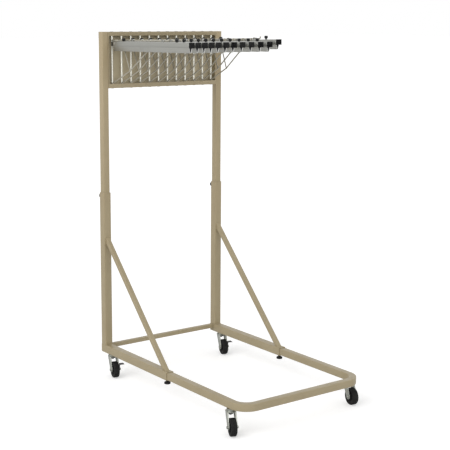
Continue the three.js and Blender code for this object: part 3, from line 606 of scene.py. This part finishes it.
for side in ("left", "right"):
    low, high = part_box(f"{side}_height_knob")
    middle = (low + high) / 2
    screw = station((middle.x, POST_Y, middle.z), Y, X)
    fit_knob(f"{side}_height_knob", height_head, screw, 12, 0.0012)
    low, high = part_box(f"{side}_base_knob")
    middle = (low + high) / 2
    screw = Matrix.Translation((middle.x, middle.y, rail_low.z))
    fit_knob(f"{side}_base_knob", base_head, screw, 14, 0.0013)

# Hanger brackets: bright steel rods that turn in the channel, with a bent wire arm, a diagonal and a strut
# welded to each. The arm rises a little to the front and ends in an upturned tip that keeps the clamp on it.
# A black collar sits on each rod just above the floor of the channel.
ROD_RADIUS = 0.00475
ROD_FOOT = 0.001
ROD_DROP = 0.0003
FOOT_EASE = (0.0006, 0.0006)
HEAD_EASE = (0.0008, 0.0008)
COLLAR_RADIUS = 0.007
COLLAR_BORE = ROD_RADIUS - 0.0002
COLLAR_LOW = 1.3578
COLLAR_HIGH = 1.3628
WIRE = 0.006
WIRE_BEND = 0.012
STRUT = 0.005
ARM_SIDE = 0.0178
ARM_Z = 1.5725
ARM_BEND = 0.030
ARM_ELBOW = 0.0549
ARM_REACH = 0.430
ARM_TIP = 0.010
TILT_Z = 1.557
STRUT_HEAD = 0.0585
DIAGONAL_HEAD = 0.2838
ROD_LUMP = 0.0052
WIRE_LUMP = 0.0042
STRUT_LUMP = 0.0040
ROD_TONES = ((0.78, 0.765, 0.68), (0.88, 0.87, 0.79))
# The wire tones are zinc mottle tinted tan, a painted reflection of the pan behind the wires.
WIRE_AND_PAN_REFLECTION_TONES = ((0.35, 0.33, 0.265), (0.46, 0.432, 0.355))


def standing(pivot, turn):
    """The frame of what stands over the floor about an upright pivot."""
    return Matrix.Translation((pivot[0], pivot[1], 0)) @ Matrix.Rotation(turn, 4, "Z")


hangers = []
for number in (name[-2:] for name in joints if name.startswith("jaw_open_")):
    pivot = joints[f"swing_{number}"]["pos_m"]
    way = joints[f"jaw_open_{number}"]["axis"]
    place = standing(pivot, atan2(way[0], -way[1]))
    tilt = Matrix.Rotation(-asin(way[2]), 4, "X")
    hangers.append((number, place, Matrix.Translation(Z * TILT_Z) @ tilt @ Matrix.Translation(-Z * TILT_Z)))


def at(reach, side, z):
    """A place on a hanger: along its arm, to its right, and above the floor."""
    return Vector((side, -reach, z))


diagonal_foot = at(0, 0, 1.3758)
diagonal_weld = at(0.0045, 0.0006, 1.3779)
strut_foot = at(0.1221, ARM_SIDE, 1.4385)
diagonal_knee = at(0.2623, ARM_SIDE, 1.5310)


def gather(*meshes):
    """Several meshes as one."""
    bm = bmesh.new()
    for mesh in meshes:
        bm.from_mesh(mesh)
    whole = bpy.data.meshes.new("shape")
    bm.to_mesh(whole)
    bm.free()
    return whole


def moved(shape, place):
    """A copy of a mesh, moved to its place."""
    mesh = shape.copy()
    mesh.transform(place)
    return mesh


wire_form = Form("bent_wire", {"Wire": WIRE, "Bend": WIRE_BEND, "Sides": 10})
path = wire_form.add("MeshToCurve", {0: "Geometry"})
bend = wire_form.add("FilletCurve", {"Curve": path, "Radius": "Bend", "Count": 6, "Limit Radius": True},
                     mode="POLY")
half = wire_form.add("Math", {0: "Wire", 1: 0.5}, "ShaderNode", operation="MULTIPLY")
circle = wire_form.add("CurvePrimitiveCircle", {"Radius": half, "Resolution": "Sides"})
wire_form.end(wire_form.add("CurveToMesh", {"Curve": bend, "Profile Curve": circle, "Fill Caps": True}))

bright_rod = Finish("bright_zinc_rod", metallic=0.85)
rod_tone = bright_rod.mottle((1, 4, (90, 90, 6)), *ROD_TONES)
rod_sheen = ((1, 3, (400, 400, 12)), 0.22, 0.36)
bright_rod.dress(rod_tone, rod_sheen, (1, 2, (700, 700, 20)), depth=0.0001, strength=0.15)
zinc_wire = Finish("zinc_wire", metallic=0.35)
# The wires' own zinc mottle is tinted tan, a painted reflection of the pan.
wire_tone_and_painted_reflection = zinc_wire.mottle((45, 4), *WIRE_AND_PAN_REFLECTION_TONES)
zinc_wire.dress(wire_tone_and_painted_reflection, ((160, 3), 0.38, 0.52), (800, 2), depth=0.0001, strength=0.2)


def hanger_wires(lift):
    """The bent wires of one hanger and the weld lumps where they meet, the arm at its rise."""
    root, bend = (lift @ at(reach, 0, ARM_Z) for reach in (0, ARM_BEND))
    elbow, tip, strut_head, diagonal_head = (lift @ at(reach, ARM_SIDE, ARM_Z) for reach in
                                             (ARM_ELBOW, ARM_REACH, STRUT_HEAD, DIAGONAL_HEAD))
    arm = [root, bend, elbow, tip, tip + Z * ARM_TIP]
    diagonal = [diagonal_foot, strut_foot, diagonal_knee, diagonal_head]
    long_wires = wire_form.grow(path_mesh([arm, diagonal]), zinc_wire)
    strut_wire = wire_form.grow(path_mesh([[strut_head, strut_foot]]), zinc_wire, Wire=STRUT)
    lumps = bmesh.new()
    for place, size in ((root, ROD_LUMP), (diagonal_weld, ROD_LUMP), (strut_foot, WIRE_LUMP),
                        (strut_head, STRUT_LUMP), (diagonal_head, WIRE_LUMP)):
        bmesh.ops.create_icosphere(lumps, subdivisions=2, radius=size, matrix=Matrix.Translation(place))
    wires = gather(long_wires, strut_wire, close_mesh(lumps, 60))
    wires.set_sharp_from_angle(angle=radians(60))
    return wires


rod_side = pin(ROD_RADIUS, bottom - ROD_FOOT, top - ROD_DROP, foot=FOOT_EASE, head=HEAD_EASE)
rod = turned(rod_side, Matrix(), 20)
collar_side = pin(COLLAR_RADIUS, COLLAR_LOW, COLLAR_HIGH, foot=FOOT_EASE, head=FOOT_EASE)
collar = turned([(max(radius, COLLAR_BORE), z) for radius, z in collar_side], Matrix(), 24, ring=True)
for number, place, lift in hangers:
    body = f"hanger_{number}"
    fit_piece(f"hanger_rod_{number}", moved(rod, place), bright_rod, body, "bright_wire")
    fit_piece(f"rod_collar_{number}", moved(collar, place), nylon, body, "black_plastic")
    fit_piece(f"hanger_wires_{number}", moved(hanger_wires(lift), place), zinc_wire, body, "bright_wire",
              f"hanger_bracket_{number}")

# Clamp rails: aluminium extrusions with drawn lines along them, whose left wall leans in below a crease
# as the fixed jaw. Two lugs hang each on its arm, and rivets at both ends hold the end blocks.
CLAMP_START = 0.030
CLAMP_END = 0.611
CLAMP_HALF = 0.014
CLAMP_IN = 0.012
CLAMP_TOP = 1.569
CLAMP_ROOF = 0.002
CLAMP_ROUND = 0.0020
ROUND_MIDDLE = 0.0006
BLOCK_BOTTOM = 1.545
CREASE = 1.547
JAW_BOTTOM = 1.525
NOSE = -0.005
RIB_END = 0.009
RIB_LOW = 1.560
RIB_HIGH = 1.563
GROOVE = (0.0046, 0.0062)
GROOVE_DEPTH = 0.0005
GROOVE_SLOPE = 0.0004
WALL_GROOVE = (1.5473, 1.5495)
WALL_GROOVE_DEPTH = 0.0008
WALL_GROOVE_SLOPE = 0.0005
RIVET_REACHES = (0.0405, 0.604)
RIVET_Z = 1.5585
RIVET = 0.0052
LUG = 0.0025
LUG_HALF = 0.008
LUG_REACHES = (0.1505, 0.387)
LUG_SINK = 0.0005
LUG_EASE = 0.0004
ARM_GAP = 0.0003
DRAWN_LINES = (1, 4, (5, 1500, 1), "UV")
DRAWN_SHEEN = (1, 3, (9, 800, 1), "UV")
UPRIGHT_TONES = ((0.312, 0.313, 0.290), (0.380, 0.380, 0.352))
# The leaning tones are a painted sheen, lighter than the upright tones.
LEANING_SHEEN_TONES = ((0.402, 0.402, 0.374), (0.488, 0.488, 0.454))
STAIN_TONE = (0.33, 0.33, 0.305)
SAWN_TONE = (0.80, 0.80, 0.77)

aluminium = Finish("drawn_aluminium", metallic=0.8)
upright_tone = aluminium.mottle(DRAWN_LINES, *UPRIGHT_TONES)
painted_sheen_leaning_tone = aluminium.mottle(DRAWN_LINES, *LEANING_SHEEN_TONES)
# Painted sheen: the leaning wall is painted in a lighter tone than the upright walls, for the light it
# catches.
painted_sheen_wall_tone = aluminium.tint(aluminium.mark("leaning"), upright_tone, painted_sheen_leaning_tone)
stained = aluminium.mottle((16, 5), painted_sheen_wall_tone, STAIN_TONE, most=0.35, start=0.5, end=0.75)
sawn_ends = aluminium.tint(aluminium.mark("sawn"), stained, SAWN_TONE)
aluminium.dress(sawn_ends, (DRAWN_SHEEN, 0.30, 0.46), DRAWN_LINES, depth=0.0001, strength=0.25)


def lay_lines(mesh):
    """A UV map along the extrusion for its drawn lines, and marks on its sawn ends and its leaning wall."""
    layer = mesh.uv_layers.new(name="drawn")
    for loop in mesh.loops:
        place = mesh.vertices[loop.vertex_index].co
        layer.data[loop.index].uv = (-place.y, place.x + place.z)
    for mark in ("sawn", "leaning"):
        mesh.attributes.new(mark, "FLOAT", "FACE")
    for face in mesh.polygons:
        way = face.normal
        mesh.attributes["sawn"].data[face.index].value = float(abs(way.y) > 0.95)
        mesh.attributes["leaning"].data[face.index].value = float(way.x < -0.5 and way.z < -0.1)
    return mesh


def block(low, high, ease):
    """A block with eased edges."""
    bm = bmesh.new()
    middle = (Vector(low) + Vector(high)) / 2
    size = Vector(high) - Vector(low)
    bmesh.ops.create_cube(bm, size=1, matrix=Matrix.Translation(middle) @ Matrix.Diagonal((*size, 1)))
    bmesh.ops.bevel(bm, geom=bm.edges[:], offset=ease, segments=2, profile=0.5, affect="EDGES")
    return close_mesh(bm, 45)


rivet_side = [(0, -0.001), (RIVET, -0.001), (RIVET, 0.0002), (0.0044, 0.0010), (0.0022, 0.0015), (0, 0.0016)]
nose_side = [(NOSE - 0.0019, JAW_BOTTOM + 0.0004), (NOSE - 0.0016, JAW_BOTTOM), (NOSE - 0.0003, JAW_BOTTOM),
             (NOSE, JAW_BOTTOM + 0.0003)]
inner_side = [(-CLAMP_IN, CREASE), (-CLAMP_IN, CLAMP_TOP - CLAMP_ROOF), (CLAMP_IN, CLAMP_TOP - CLAMP_ROOF),
              (CLAMP_IN, RIB_HIGH), (RIB_END, RIB_HIGH), (RIB_END, RIB_LOW), (CLAMP_IN, RIB_LOW),
              (CLAMP_IN, BLOCK_BOTTOM)]
groove_floor = CLAMP_HALF - WALL_GROOVE_DEPTH
right_side = [(CLAMP_HALF, BLOCK_BOTTOM), (CLAMP_HALF, WALL_GROOVE[0]),
              (groove_floor, WALL_GROOVE[0] + WALL_GROOVE_SLOPE),
              (groove_floor, WALL_GROOVE[1] - WALL_GROOVE_SLOPE), (CLAMP_HALF, WALL_GROOVE[1])]
half_top = [(CLAMP_HALF, CLAMP_TOP - CLAMP_ROUND), (CLAMP_HALF - ROUND_MIDDLE, CLAMP_TOP - ROUND_MIDDLE),
            (CLAMP_HALF - CLAMP_ROUND, CLAMP_TOP), (GROOVE[1], CLAMP_TOP),
            (GROOVE[1] - GROOVE_SLOPE, CLAMP_TOP - GROOVE_DEPTH),
            (GROOVE[0] + GROOVE_SLOPE, CLAMP_TOP - GROOVE_DEPTH), (GROOVE[0], CLAMP_TOP)]
crease_side = [(-CLAMP_HALF, CREASE + 0.0012), (-CLAMP_HALF + 0.0007, CREASE + 0.0008),
               (-CLAMP_HALF + 0.0007, CREASE + 0.0001), (-CLAMP_HALF + 0.0002, CREASE - 0.0005)]
whole_top = half_top + [(-x, z) for x, z in half_top[::-1]]
channel = bmesh.new()
clamp_side = nose_side + inner_side + right_side + whole_top + crease_side
add_bar(channel, clamp_side, -Y, X, CLAMP_START, CLAMP_END)
for reach in RIVET_REACHES:
    for side in (-1, 1):
        add_turned(channel, rivet_side, station((side * CLAMP_HALF, -reach, RIVET_Z), X * side, Y), 20)
lug_left = ARM_SIDE - WIRE / 2 - 2 * LUG - LUG_SINK
lug_right = ARM_SIDE + WIRE / 2 - ARM_GAP
lug_under = ARM_Z + WIRE / 2 + ARM_GAP
lug_top = lug_under + LUG
lugs = []
for reach in LUG_REACHES:
    rear, fore = -reach - LUG_HALF, -reach + LUG_HALF
    lugs.append(block((lug_left, rear, CLAMP_TOP - LUG_SINK), (lug_left + LUG, fore, lug_top), LUG_EASE))
    lugs.append(block((lug_left, rear, lug_under), (lug_right, fore, lug_top), LUG_EASE))
channel = lay_lines(gather(close_mesh(channel, 25), *lugs))
for number, place, lift in hangers:
    fit_piece(f"clamp_channel_{number}", moved(channel, place @ lift), aluminium, f"hanger_{number}",
              "aluminium", f"clamp_rail_{number}")

# Clamp fittings: black plastic end blocks with wedge tongues that close the ends of the extrusion, a cap
# on its front, a rear tab that reaches to the pivot rod, and two low round knobs, which tighten the jaw.
# The last front knob is left unscrewed a little.
TONGUE = 0.008
TONGUE_INSET = 0.003
TONGUE_TIP = 1.5275
TONGUE_TOP = 1.5459
BLOCK_HALF = 0.013
BLOCK_LENGTH = 0.014
BLOCK_IN = 0.011
CAP = 0.003
TAB_HALF = 0.006
TAB_REACH = (0.0054, 0.031)
REAR_KNOB = 0.100
FRONT_KNOB = 0.507
KNOB_RISE = 0.002
LOOSE_RISE = 0.004
CLAMP_STUD = 0.004
CLAMP_KNOB = 0.00775
tongue_side = [(-0.0068, TONGUE_TIP), (-0.0047, TONGUE_TIP), (0.0001, TONGUE_TOP - 0.0008),
               (0.0001, TONGUE_TOP), (-0.0126, TONGUE_TOP)]
knob_side = [(0, 0.0002), (0.0066, 0.0002), (0.0076, 0.0012), (CLAMP_KNOB, 0.0030), (CLAMP_KNOB, 0.0086),
             (0.0071, 0.0108), (0.0054, 0.0119), (0, 0.0120)]
tongues = bmesh.new()
for reach in (CLAMP_START + TONGUE_INSET, CLAMP_END - TONGUE):
    add_bar(tongues, tongue_side, -Y, X, reach, reach + TONGUE)
end_blocks = [block((-BLOCK_HALF, -reach - BLOCK_LENGTH, BLOCK_BOTTOM),
                    (BLOCK_HALF, -reach, CLAMP_TOP - 0.001), ease=0.0005)
              for reach in (CLAMP_START, CLAMP_END - BLOCK_IN)]
front_cap = block((-CLAMP_HALF, -CLAMP_END - CAP, BLOCK_BOTTOM),
                  (CLAMP_HALF, -CLAMP_END, CLAMP_TOP), ease=0.0007)
rear_tab = block((-TAB_HALF, -TAB_REACH[1], BLOCK_BOTTOM + 0.002),
                 (TAB_HALF, -TAB_REACH[0], CLAMP_TOP - 0.002), ease=0.0012)
fittings = gather(close_mesh(tongues, 30), *end_blocks, front_cap, rear_tab)


def round_knob(reach, rise):
    """A low round knob on its stud at a place along the clamp."""
    place = Matrix.Translation((0, -reach, CLAMP_TOP + rise))
    stud_side = pin(CLAMP_STUD, -rise - 0.0010, 0.0010)
    return gather(turned(stud_side, place, 20), turned(knob_side, place, 48))


for number, place, lift in hangers:
    front_rise = LOOSE_RISE if number == hangers[-1][0] else KNOB_RISE
    fitted = gather(fittings, round_knob(REAR_KNOB, KNOB_RISE), round_knob(FRONT_KNOB, front_rise))
    fit_piece(f"clamp_fittings_{number}", moved(fitted, place @ lift), nylon, f"hanger_{number}",
              "black_plastic")

# Clamp jaws: aluminium plates hinged by a bead in the rail, closing slantwise on the fixed jaw to pinch the
# sheets. The upper edge is cut back at both ends, where the end blocks sit.
HINGE = Vector((0.0063, 1.5615))
JAW_TIP = Vector((-0.0034, 1.5261))
JAW_HALF = 0.0011
JAW_CUT = 1.5439
JAW_FULL = (0.0445, 0.5995)
JAW_LAP = 0.0001
JAW_BEAD = 0.0024
BEAD_ARC = (0, 330, 11)
jaw_across = Vector((HINGE.y - JAW_TIP.y, JAW_TIP.x - HINGE.x)).normalized() * JAW_HALF
jaw_short = JAW_TIP + (HINGE - JAW_TIP) * ((JAW_CUT - JAW_TIP.y) / (HINGE.y - JAW_TIP.y))


def jaw_side(upper):
    """The plate's outline up to a point on its middle line."""
    return [JAW_TIP - jaw_across, JAW_TIP + jaw_across, upper + jaw_across, upper - jaw_across]


jaw = bmesh.new()
add_bar(jaw, jaw_side(HINGE), -Y, X, *JAW_FULL)
add_bar(jaw, jaw_side(jaw_short), -Y, X, CLAMP_START + 0.0005, JAW_FULL[0] + JAW_LAP)
add_bar(jaw, jaw_side(jaw_short), -Y, X, JAW_FULL[1] - JAW_LAP, CLAMP_END)
add_bar(jaw, arc(HINGE, JAW_BEAD, *BEAD_ARC), -Y, X, *JAW_FULL)
jaw = lay_lines(close_mesh(jaw, 25))
for number, place, lift in hangers:
    fit_piece(f"clamp_jaw_plate_{number}", moved(jaw, place @ lift), aluminium, f"jaw_{number}",
              "aluminium", f"clamp_jaw_{number}")

# Caster forks: pressed steel forks, zinc plated, on a swivel race under the tubes, with a bolt for an axle.
# A bearing cup and a kingpin nut show under the crown, and each cheek is a shallow pan, open inwards.
TRAIL = 0.034
AXLE_Z = 0.038
AXLE_MIDDLE = (-TRAIL, AXLE_Z)
AXLE = 0.004
CHEEK_IN = 0.0145
CHEEK_OUT = 0.0195
CHEEK_DROP = 0.001
CHEEK_ROUND = 0.012
CHEEK_ARC = (160, 350, 16)
FORK_SHEET = 0.0025
CROWN_TOP = 0.098
CROWN = 0.003
CROWN_FRONT = 0.0160
CROWN_BACK = -0.0238
RACE = 0.0200
RACE_LOW = 0.0965
RACE_HIGH = 0.1010
TOP_PLATE = 0.0168
PLATE_GAP = 0.0003
STEM = 0.0055
STEM_RISE = 0.019
CUP = 0.0125
CUP_LOW = 0.0845
CUP_HIGH = 0.0960
KINGPIN_LOW = 0.0800
WASHER = 0.0078
AXLE_NUT = 0.0064
LEVER_SPACE = 0.0031
ZINC_TONES = ((0.29, 0.30, 0.27), (0.42, 0.43, 0.39))
GRIME_TONE = (0.26, 0.25, 0.23)

zinc = Finish("bright_zinc_plate", metallic=0.85)
zinc_tone = zinc.mottle((70, 5), *ZINC_TONES)
zinc_grime = zinc.mottle((30, 4), zinc_tone, GRIME_TONE, most=0.5, start=0.52, end=0.75)
zinc.dress(zinc_grime, ((140, 3), 0.24, 0.42), (700, 2), depth=0.0001, strength=0.2)


def cheek_side(inset, drop):
    """The outline of a cheek, or of the hollow in it."""
    head = CROWN_TOP - drop
    round_end = arc(AXLE_MIDDLE, CHEEK_ROUND - inset, *CHEEK_ARC)
    return [(CROWN_FRONT - inset, head), (CROWN_BACK + inset, head), *round_end]


def fork_cheek(side):
    """One cheek with eased rims, hollowed from within."""
    plate = bmesh.new()
    outline = cheek_side(0, CHEEK_DROP)
    add_bar(plate, outline, X, Y, side * CHEEK_IN, side * CHEEK_OUT)
    rims = [edge for face in plate.faces if len(face.verts) == len(outline) for edge in face.edges]
    bmesh.ops.bevel(plate, geom=rims, offset=0.0006, segments=2, profile=0.5, affect="EDGES")
    hollow = bmesh.new()
    depth = (side * (CHEEK_IN - 0.001), side * (CHEEK_OUT - FORK_SHEET))
    add_bar(hollow, cheek_side(FORK_SHEET, CROWN), X, Y, *depth)
    return cut_away(close_mesh(plate, 40), close_mesh(hollow))


def fork(tube_bottom, lever_space):
    """A fork with its stem on the Z axis, made for a tube at that height."""
    crown = block((-CHEEK_OUT, CROWN_BACK, CROWN_TOP - CROWN), (CHEEK_OUT, CROWN_FRONT, CROWN_TOP), 0.0011)
    plate_top = tube_bottom - PLATE_GAP
    stem_top = tube_bottom + STEM_RISE
    race = [(0, RACE_LOW), (RACE - 0.0010, RACE_LOW), (RACE - 0.0002, RACE_LOW + 0.0007),
            (RACE, RACE_LOW + 0.0017), (RACE, RACE_HIGH - 0.0010), (RACE - 0.0006, RACE_HIGH - 0.0002),
            (RACE - 0.0014, RACE_HIGH), (TOP_PLATE, RACE_HIGH), (TOP_PLATE, plate_top - 0.0006),
            (TOP_PLATE - 0.0006, plate_top), (STEM, plate_top), (STEM, stem_top), (0, stem_top)]
    cup = [(0, CUP_LOW), (CUP - 0.0025, CUP_LOW), (CUP - 0.0007, CUP_LOW + 0.0013), (CUP, CUP_LOW + 0.0035),
           (CUP, CUP_HIGH), (0, CUP_HIGH)]
    kingpin = [(0, KINGPIN_LOW), (0.0044, KINGPIN_LOW), (0.0052, 0.0808), (0.0052, 0.0815), (0.0065, 0.0820),
               (0.0065, 0.0850), (0, 0.0850)]
    swivel = bmesh.new()
    for profile, segments in ((race, 40), (cup, 32), (kingpin, 6)):
        add_turned(swivel, profile, Matrix(), segments)
    for side, inner in ((-1, CHEEK_OUT), (1, CHEEK_OUT + lever_space)):
        bolt = station((0, -TRAIL, AXLE_Z), X * side, Y)
        outer = inner + 0.0010
        washer = [(0, 0.010), (AXLE, 0.010), (AXLE, inner), (WASHER, inner), (WASHER, outer), (0, outer)]
        nut = pin(AXLE_NUT, inner + 0.0008, inner + 0.005, head=(0.0008, 0.0006))
        bolt_end = pin(AXLE, inner, inner + 0.006, head=(0.0006, 0.0004))
        for profile, segments in ((washer, 24), (nut, 6), (bolt_end, 20)):
            add_turned(swivel, profile, bolt, segments)
    return gather(close_mesh(swivel, 30), fork_cheek(-1), fork_cheek(1), crown)


corners = []
for corner in (name.removesuffix("_roll") for name in joints if name.endswith("_roll")):
    stem = joints[f"{corner}_swivel"]["pos_m"]
    way = joints[f"{corner}_roll"]["axis"]
    corners.append((corner, standing(stem, atan2(way[1], way[0]))))
rear_fork = fork(rail_low.z, LEVER_SPACE)
front_fork = fork(front_low.z, 0)
for corner, place in corners:
    shape = rear_fork if corner.startswith("rear") else front_fork
    fit_piece(f"{corner}_fork_frame", moved(shape, place), zinc, f"{corner}_caster", "zinc_steel",
              f"{corner}_fork")

# Caster wheels: black moulded cores with eight pairs of ribs, in dark rubber tyres with a line round
# the tread. They turn on the axle bolts and trail behind the stems.
TYRE = 0.038
SHOULDER = 0.004
TYRE_HALF = 0.013
TYRE_BORE = 0.0262
AXLE_HOLE = 0.0046
SPOKES = 8
RIB_HALF = 0.0009
RIB = 0.0030
RIB_STARTS = (-0.0103, 0.0073)
RIB_REACH = (0.0098, 0.0238)
RUBBER_TONES = ((0.007, 0.007, 0.007), (0.014, 0.014, 0.014))
DUST_TONE = (0.045, 0.044, 0.041)

rubber = Finish("dark_rubber", metallic=0, specular=0.14)
rubber_tone = rubber.mottle((40, 4), *RUBBER_TONES)
rubber_dust = rubber.mottle((260, 4), rubber_tone, DUST_TONE, most=0.7, start=0.5, end=0.8)
rubber.dress(rubber_dust, ((120, 4), 0.58, 0.8), (900, 3), depth=0.0003, strength=0.4)

axle_line = station((0, -TRAIL, AXLE_Z), X, Y)


def wheel_ring(half, segments):
    """A ring about the axle from the outline of its outer half."""
    return turned(half + [(radius, -width) for radius, width in half[::-1]], axle_line, segments, ring=True)


shoulder = arc((TYRE - SHOULDER, TYRE_HALF - SHOULDER), SHOULDER, 90, 0, 5)
tyre = wheel_ring([(TYRE_BORE, 0.0105), (0.0268, 0.0121), (0.0285, 0.0129), *shoulder, (TYRE, 0.0014),
                   (TYRE - 0.0004, 0.0010), (TYRE - 0.0004, 0.0002)], 64)
core = wheel_ring([(AXLE_HOLE, 0.0130), (0.0090, 0.0130), (0.0098, 0.0124), (0.0106, 0.0083),
                   (0.0216, 0.0075), (0.0230, 0.0099), (0.0240, 0.0110), (TYRE_BORE, 0.0108)], 48)
ribs = [block((start, -RIB_HALF, RIB_REACH[0]), (start + RIB, RIB_HALF, RIB_REACH[1]), ease=0.0003)
        for start in RIB_STARTS]
spokes = []
for spoke in range(SPOKES):
    turn = Matrix.Translation((0, -TRAIL, AXLE_Z)) @ Matrix.Rotation(2 * pi * spoke / SPOKES, 4, "X")
    spokes.extend(moved(rib, turn) for rib in ribs)
core = gather(core, *spokes)
for corner, place in corners:
    body = f"{corner}_wheel"
    fit_piece(f"{corner}_tyre", moved(tyre, place), rubber, body, "wheel_rubber", f"{corner}_wheel")
    fit_piece(f"{corner}_wheel_core", moved(core, place), nylon, body, "wheel_rubber")

# Brake levers: dark pressed plates on the axle ends of the rear casters, each with a foot tab turned outward
# at its top and ridges on the tab for the shoe.
LEVER_IN = 0.0198
LEVER_OUT = 0.0223
LEVER_TOP = 0.062
LEVER_FRONT = -TRAIL + 0.014
LEVER_BACK = -TRAIL - 0.010
LEVER_ROUND = 0.009
TAB = 0.0025
TAB_WIDTH = 0.022
RIDGES = (0.0270, 0.0320, 0.0370)
RIDGE = 0.0018
RIDGE_INSET = 0.003
LEVER_TONES = ((0.040, 0.040, 0.042), (0.075, 0.075, 0.076))

dark_steel = Finish("dark_pressed_steel", metallic=0.6)
lever_tone = dark_steel.mottle((80, 4), *LEVER_TONES)
dark_steel.dress(lever_tone, ((200, 3), 0.32, 0.5), (900, 2), depth=0.0001, strength=0.25)

lever_side = [(LEVER_FRONT, LEVER_TOP - 0.0008), (LEVER_FRONT - 0.001, LEVER_TOP),
              (LEVER_BACK + 0.001, LEVER_TOP), (LEVER_BACK, LEVER_TOP - 0.0008),
              *arc(AXLE_MIDDLE, LEVER_ROUND, 180, 360, 14)]
lever_plate = bmesh.new()
add_bar(lever_plate, lever_side, X, Y, LEVER_IN, LEVER_OUT)
axle_hole = turned(pin(AXLE_HOLE, LEVER_IN - 0.002, LEVER_OUT + 0.002), axle_line, 24)
foot_tab = block((LEVER_IN, LEVER_BACK, LEVER_TOP - TAB),
                 (LEVER_OUT + TAB_WIDTH, LEVER_FRONT, LEVER_TOP), ease=0.0008)
ridges = [block((x, LEVER_BACK + RIDGE_INSET, LEVER_TOP - 0.0004),
                (x + RIDGE, LEVER_FRONT - RIDGE_INSET, LEVER_TOP + 0.0008), ease=0.0004) for x in RIDGES]
lever = gather(cut_away(close_mesh(lever_plate, 40), axle_hole), foot_tab, *ridges)
lever.shade_smooth()
lever.set_sharp_from_angle(angle=radians(35))
for corner, place in corners:
    if corner.startswith("rear"):
        fit_piece(f"{corner}_foot_brake", moved(lever, place), dark_steel, f"{corner}_brake", "dark_steel",
                  f"{corner}_brake")

# Floor: a plain pale sheet, far wider than the rack, that the casters stand on.
# It is white to the camera and keeps the rack's soft shadow.
FLOOR_REACH = 60
FLOOR_TONE = (0.86, 0.86, 0.86, 1)
FLOOR_LIFT = 0.37
floor_mesh = bpy.data.meshes.new("floor")
floor_corners = [(x * FLOOR_REACH, y * FLOOR_REACH, 0) for x, y in ((-1, -1), (1, -1), (1, 1), (-1, 1))]
floor_mesh.from_pydata(floor_corners, [], [(0, 1, 2, 3)])
pale_floor = Finish("pale_floor", metallic=0, specular=0)
rays = pale_floor.add("LightPath")
lift = pale_floor.add("Math", {0: (rays, "Is Camera Ray"), 1: FLOOR_LIFT}, operation="MULTIPLY")
glow = pale_floor.add("Emission", {"Color": (1, 1, 1, 1), "Strength": lift})
both = pale_floor.add("AddShader", {0: pale_floor.shader, 1: glow})
set_inputs(pale_floor.shader, {"Base Color": FLOOR_TONE, "Roughness": 1})
set_inputs(pale_floor.tree.nodes["Material Output"], {"Surface": both})
floor_mesh.materials.append(pale_floor.material)
floor = add_object("floor", floor_mesh)
floor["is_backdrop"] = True

# Room light: an even white surround, as in a white photo studio.
# The camera and bright metal see it as white, and it lights the rack at a lower level.
ROOM_LEVEL = 0.62
surround = bpy.data.worlds.new("studio_surround")
bpy.context.scene.world = surround
surround.use_nodes = True
sky = surround.node_tree
rays = add_node(sky, "ShaderNodeLightPath")
seen = (rays, "Is Camera Ray")
for ray in ("Is Glossy Ray", "Is Transmission Ray"):
    seen = add_node(sky, "ShaderNodeMath", {0: seen, 1: (rays, ray)}, operation="MAXIMUM")
level = add_node(sky, "ShaderNodeMapRange", {"Value": seen, "To Min": ROOM_LEVEL, "To Max": 1})
set_inputs(sky.nodes["Background"], {"Color": (1, 1, 1, 1), "Strength": level})

# Lamps: a broad soft light from high at the left, as in a product studio, a low one from the front
# and a weak one from the right.
LAMPS = {"key_light": ((0.90, 0.15, -0.65), 50, 1.19),
         "front_light": ((0.15, 1.0, -0.08), 40, 0.80),
         "fill_light": ((-0.8, 0.7, -0.55), 60, 0.10)}
for name, (aim, spread, power) in LAMPS.items():
    lamp = bpy.data.lights.new(name, "SUN")
    lamp.angle = radians(spread)
    lamp.energy = power
    add_object(name, lamp).rotation_euler = Vector(aim).to_track_quat("-Z", "Y").to_euler()

# Camera: a little above the rack's height, well out to its front left, looking a little down.
# Its place, its angles and its lens are those that fit the photo's edges at the rack's real size.
CAMERA_PLACE = (-3.0154, -4.0101, 1.7031)
TURN = radians(36.834)
DOWN = radians(10.597)
ROLL = radians(0.381)
SENSOR = 36
FOCAL_LENGTH = 91.09
FAR_END = 200
lens = bpy.data.cameras.new("camera")
lens.sensor_width = SENSOR
lens.sensor_fit = "HORIZONTAL"
lens.lens = FOCAL_LENGTH
lens.clip_end = FAR_END
camera = add_object("camera", lens)
camera.matrix_world = (Matrix.Translation(CAMERA_PLACE) @ Matrix.Rotation(-TURN, 4, "Z")
                       @ Matrix.Rotation(pi / 2 - DOWN, 4, "X") @ Matrix.Rotation(ROLL, 4, "Z"))
bpy.context.scene.camera = camera
bpy.context.scene.view_settings.view_transform = "Standard"

low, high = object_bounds()
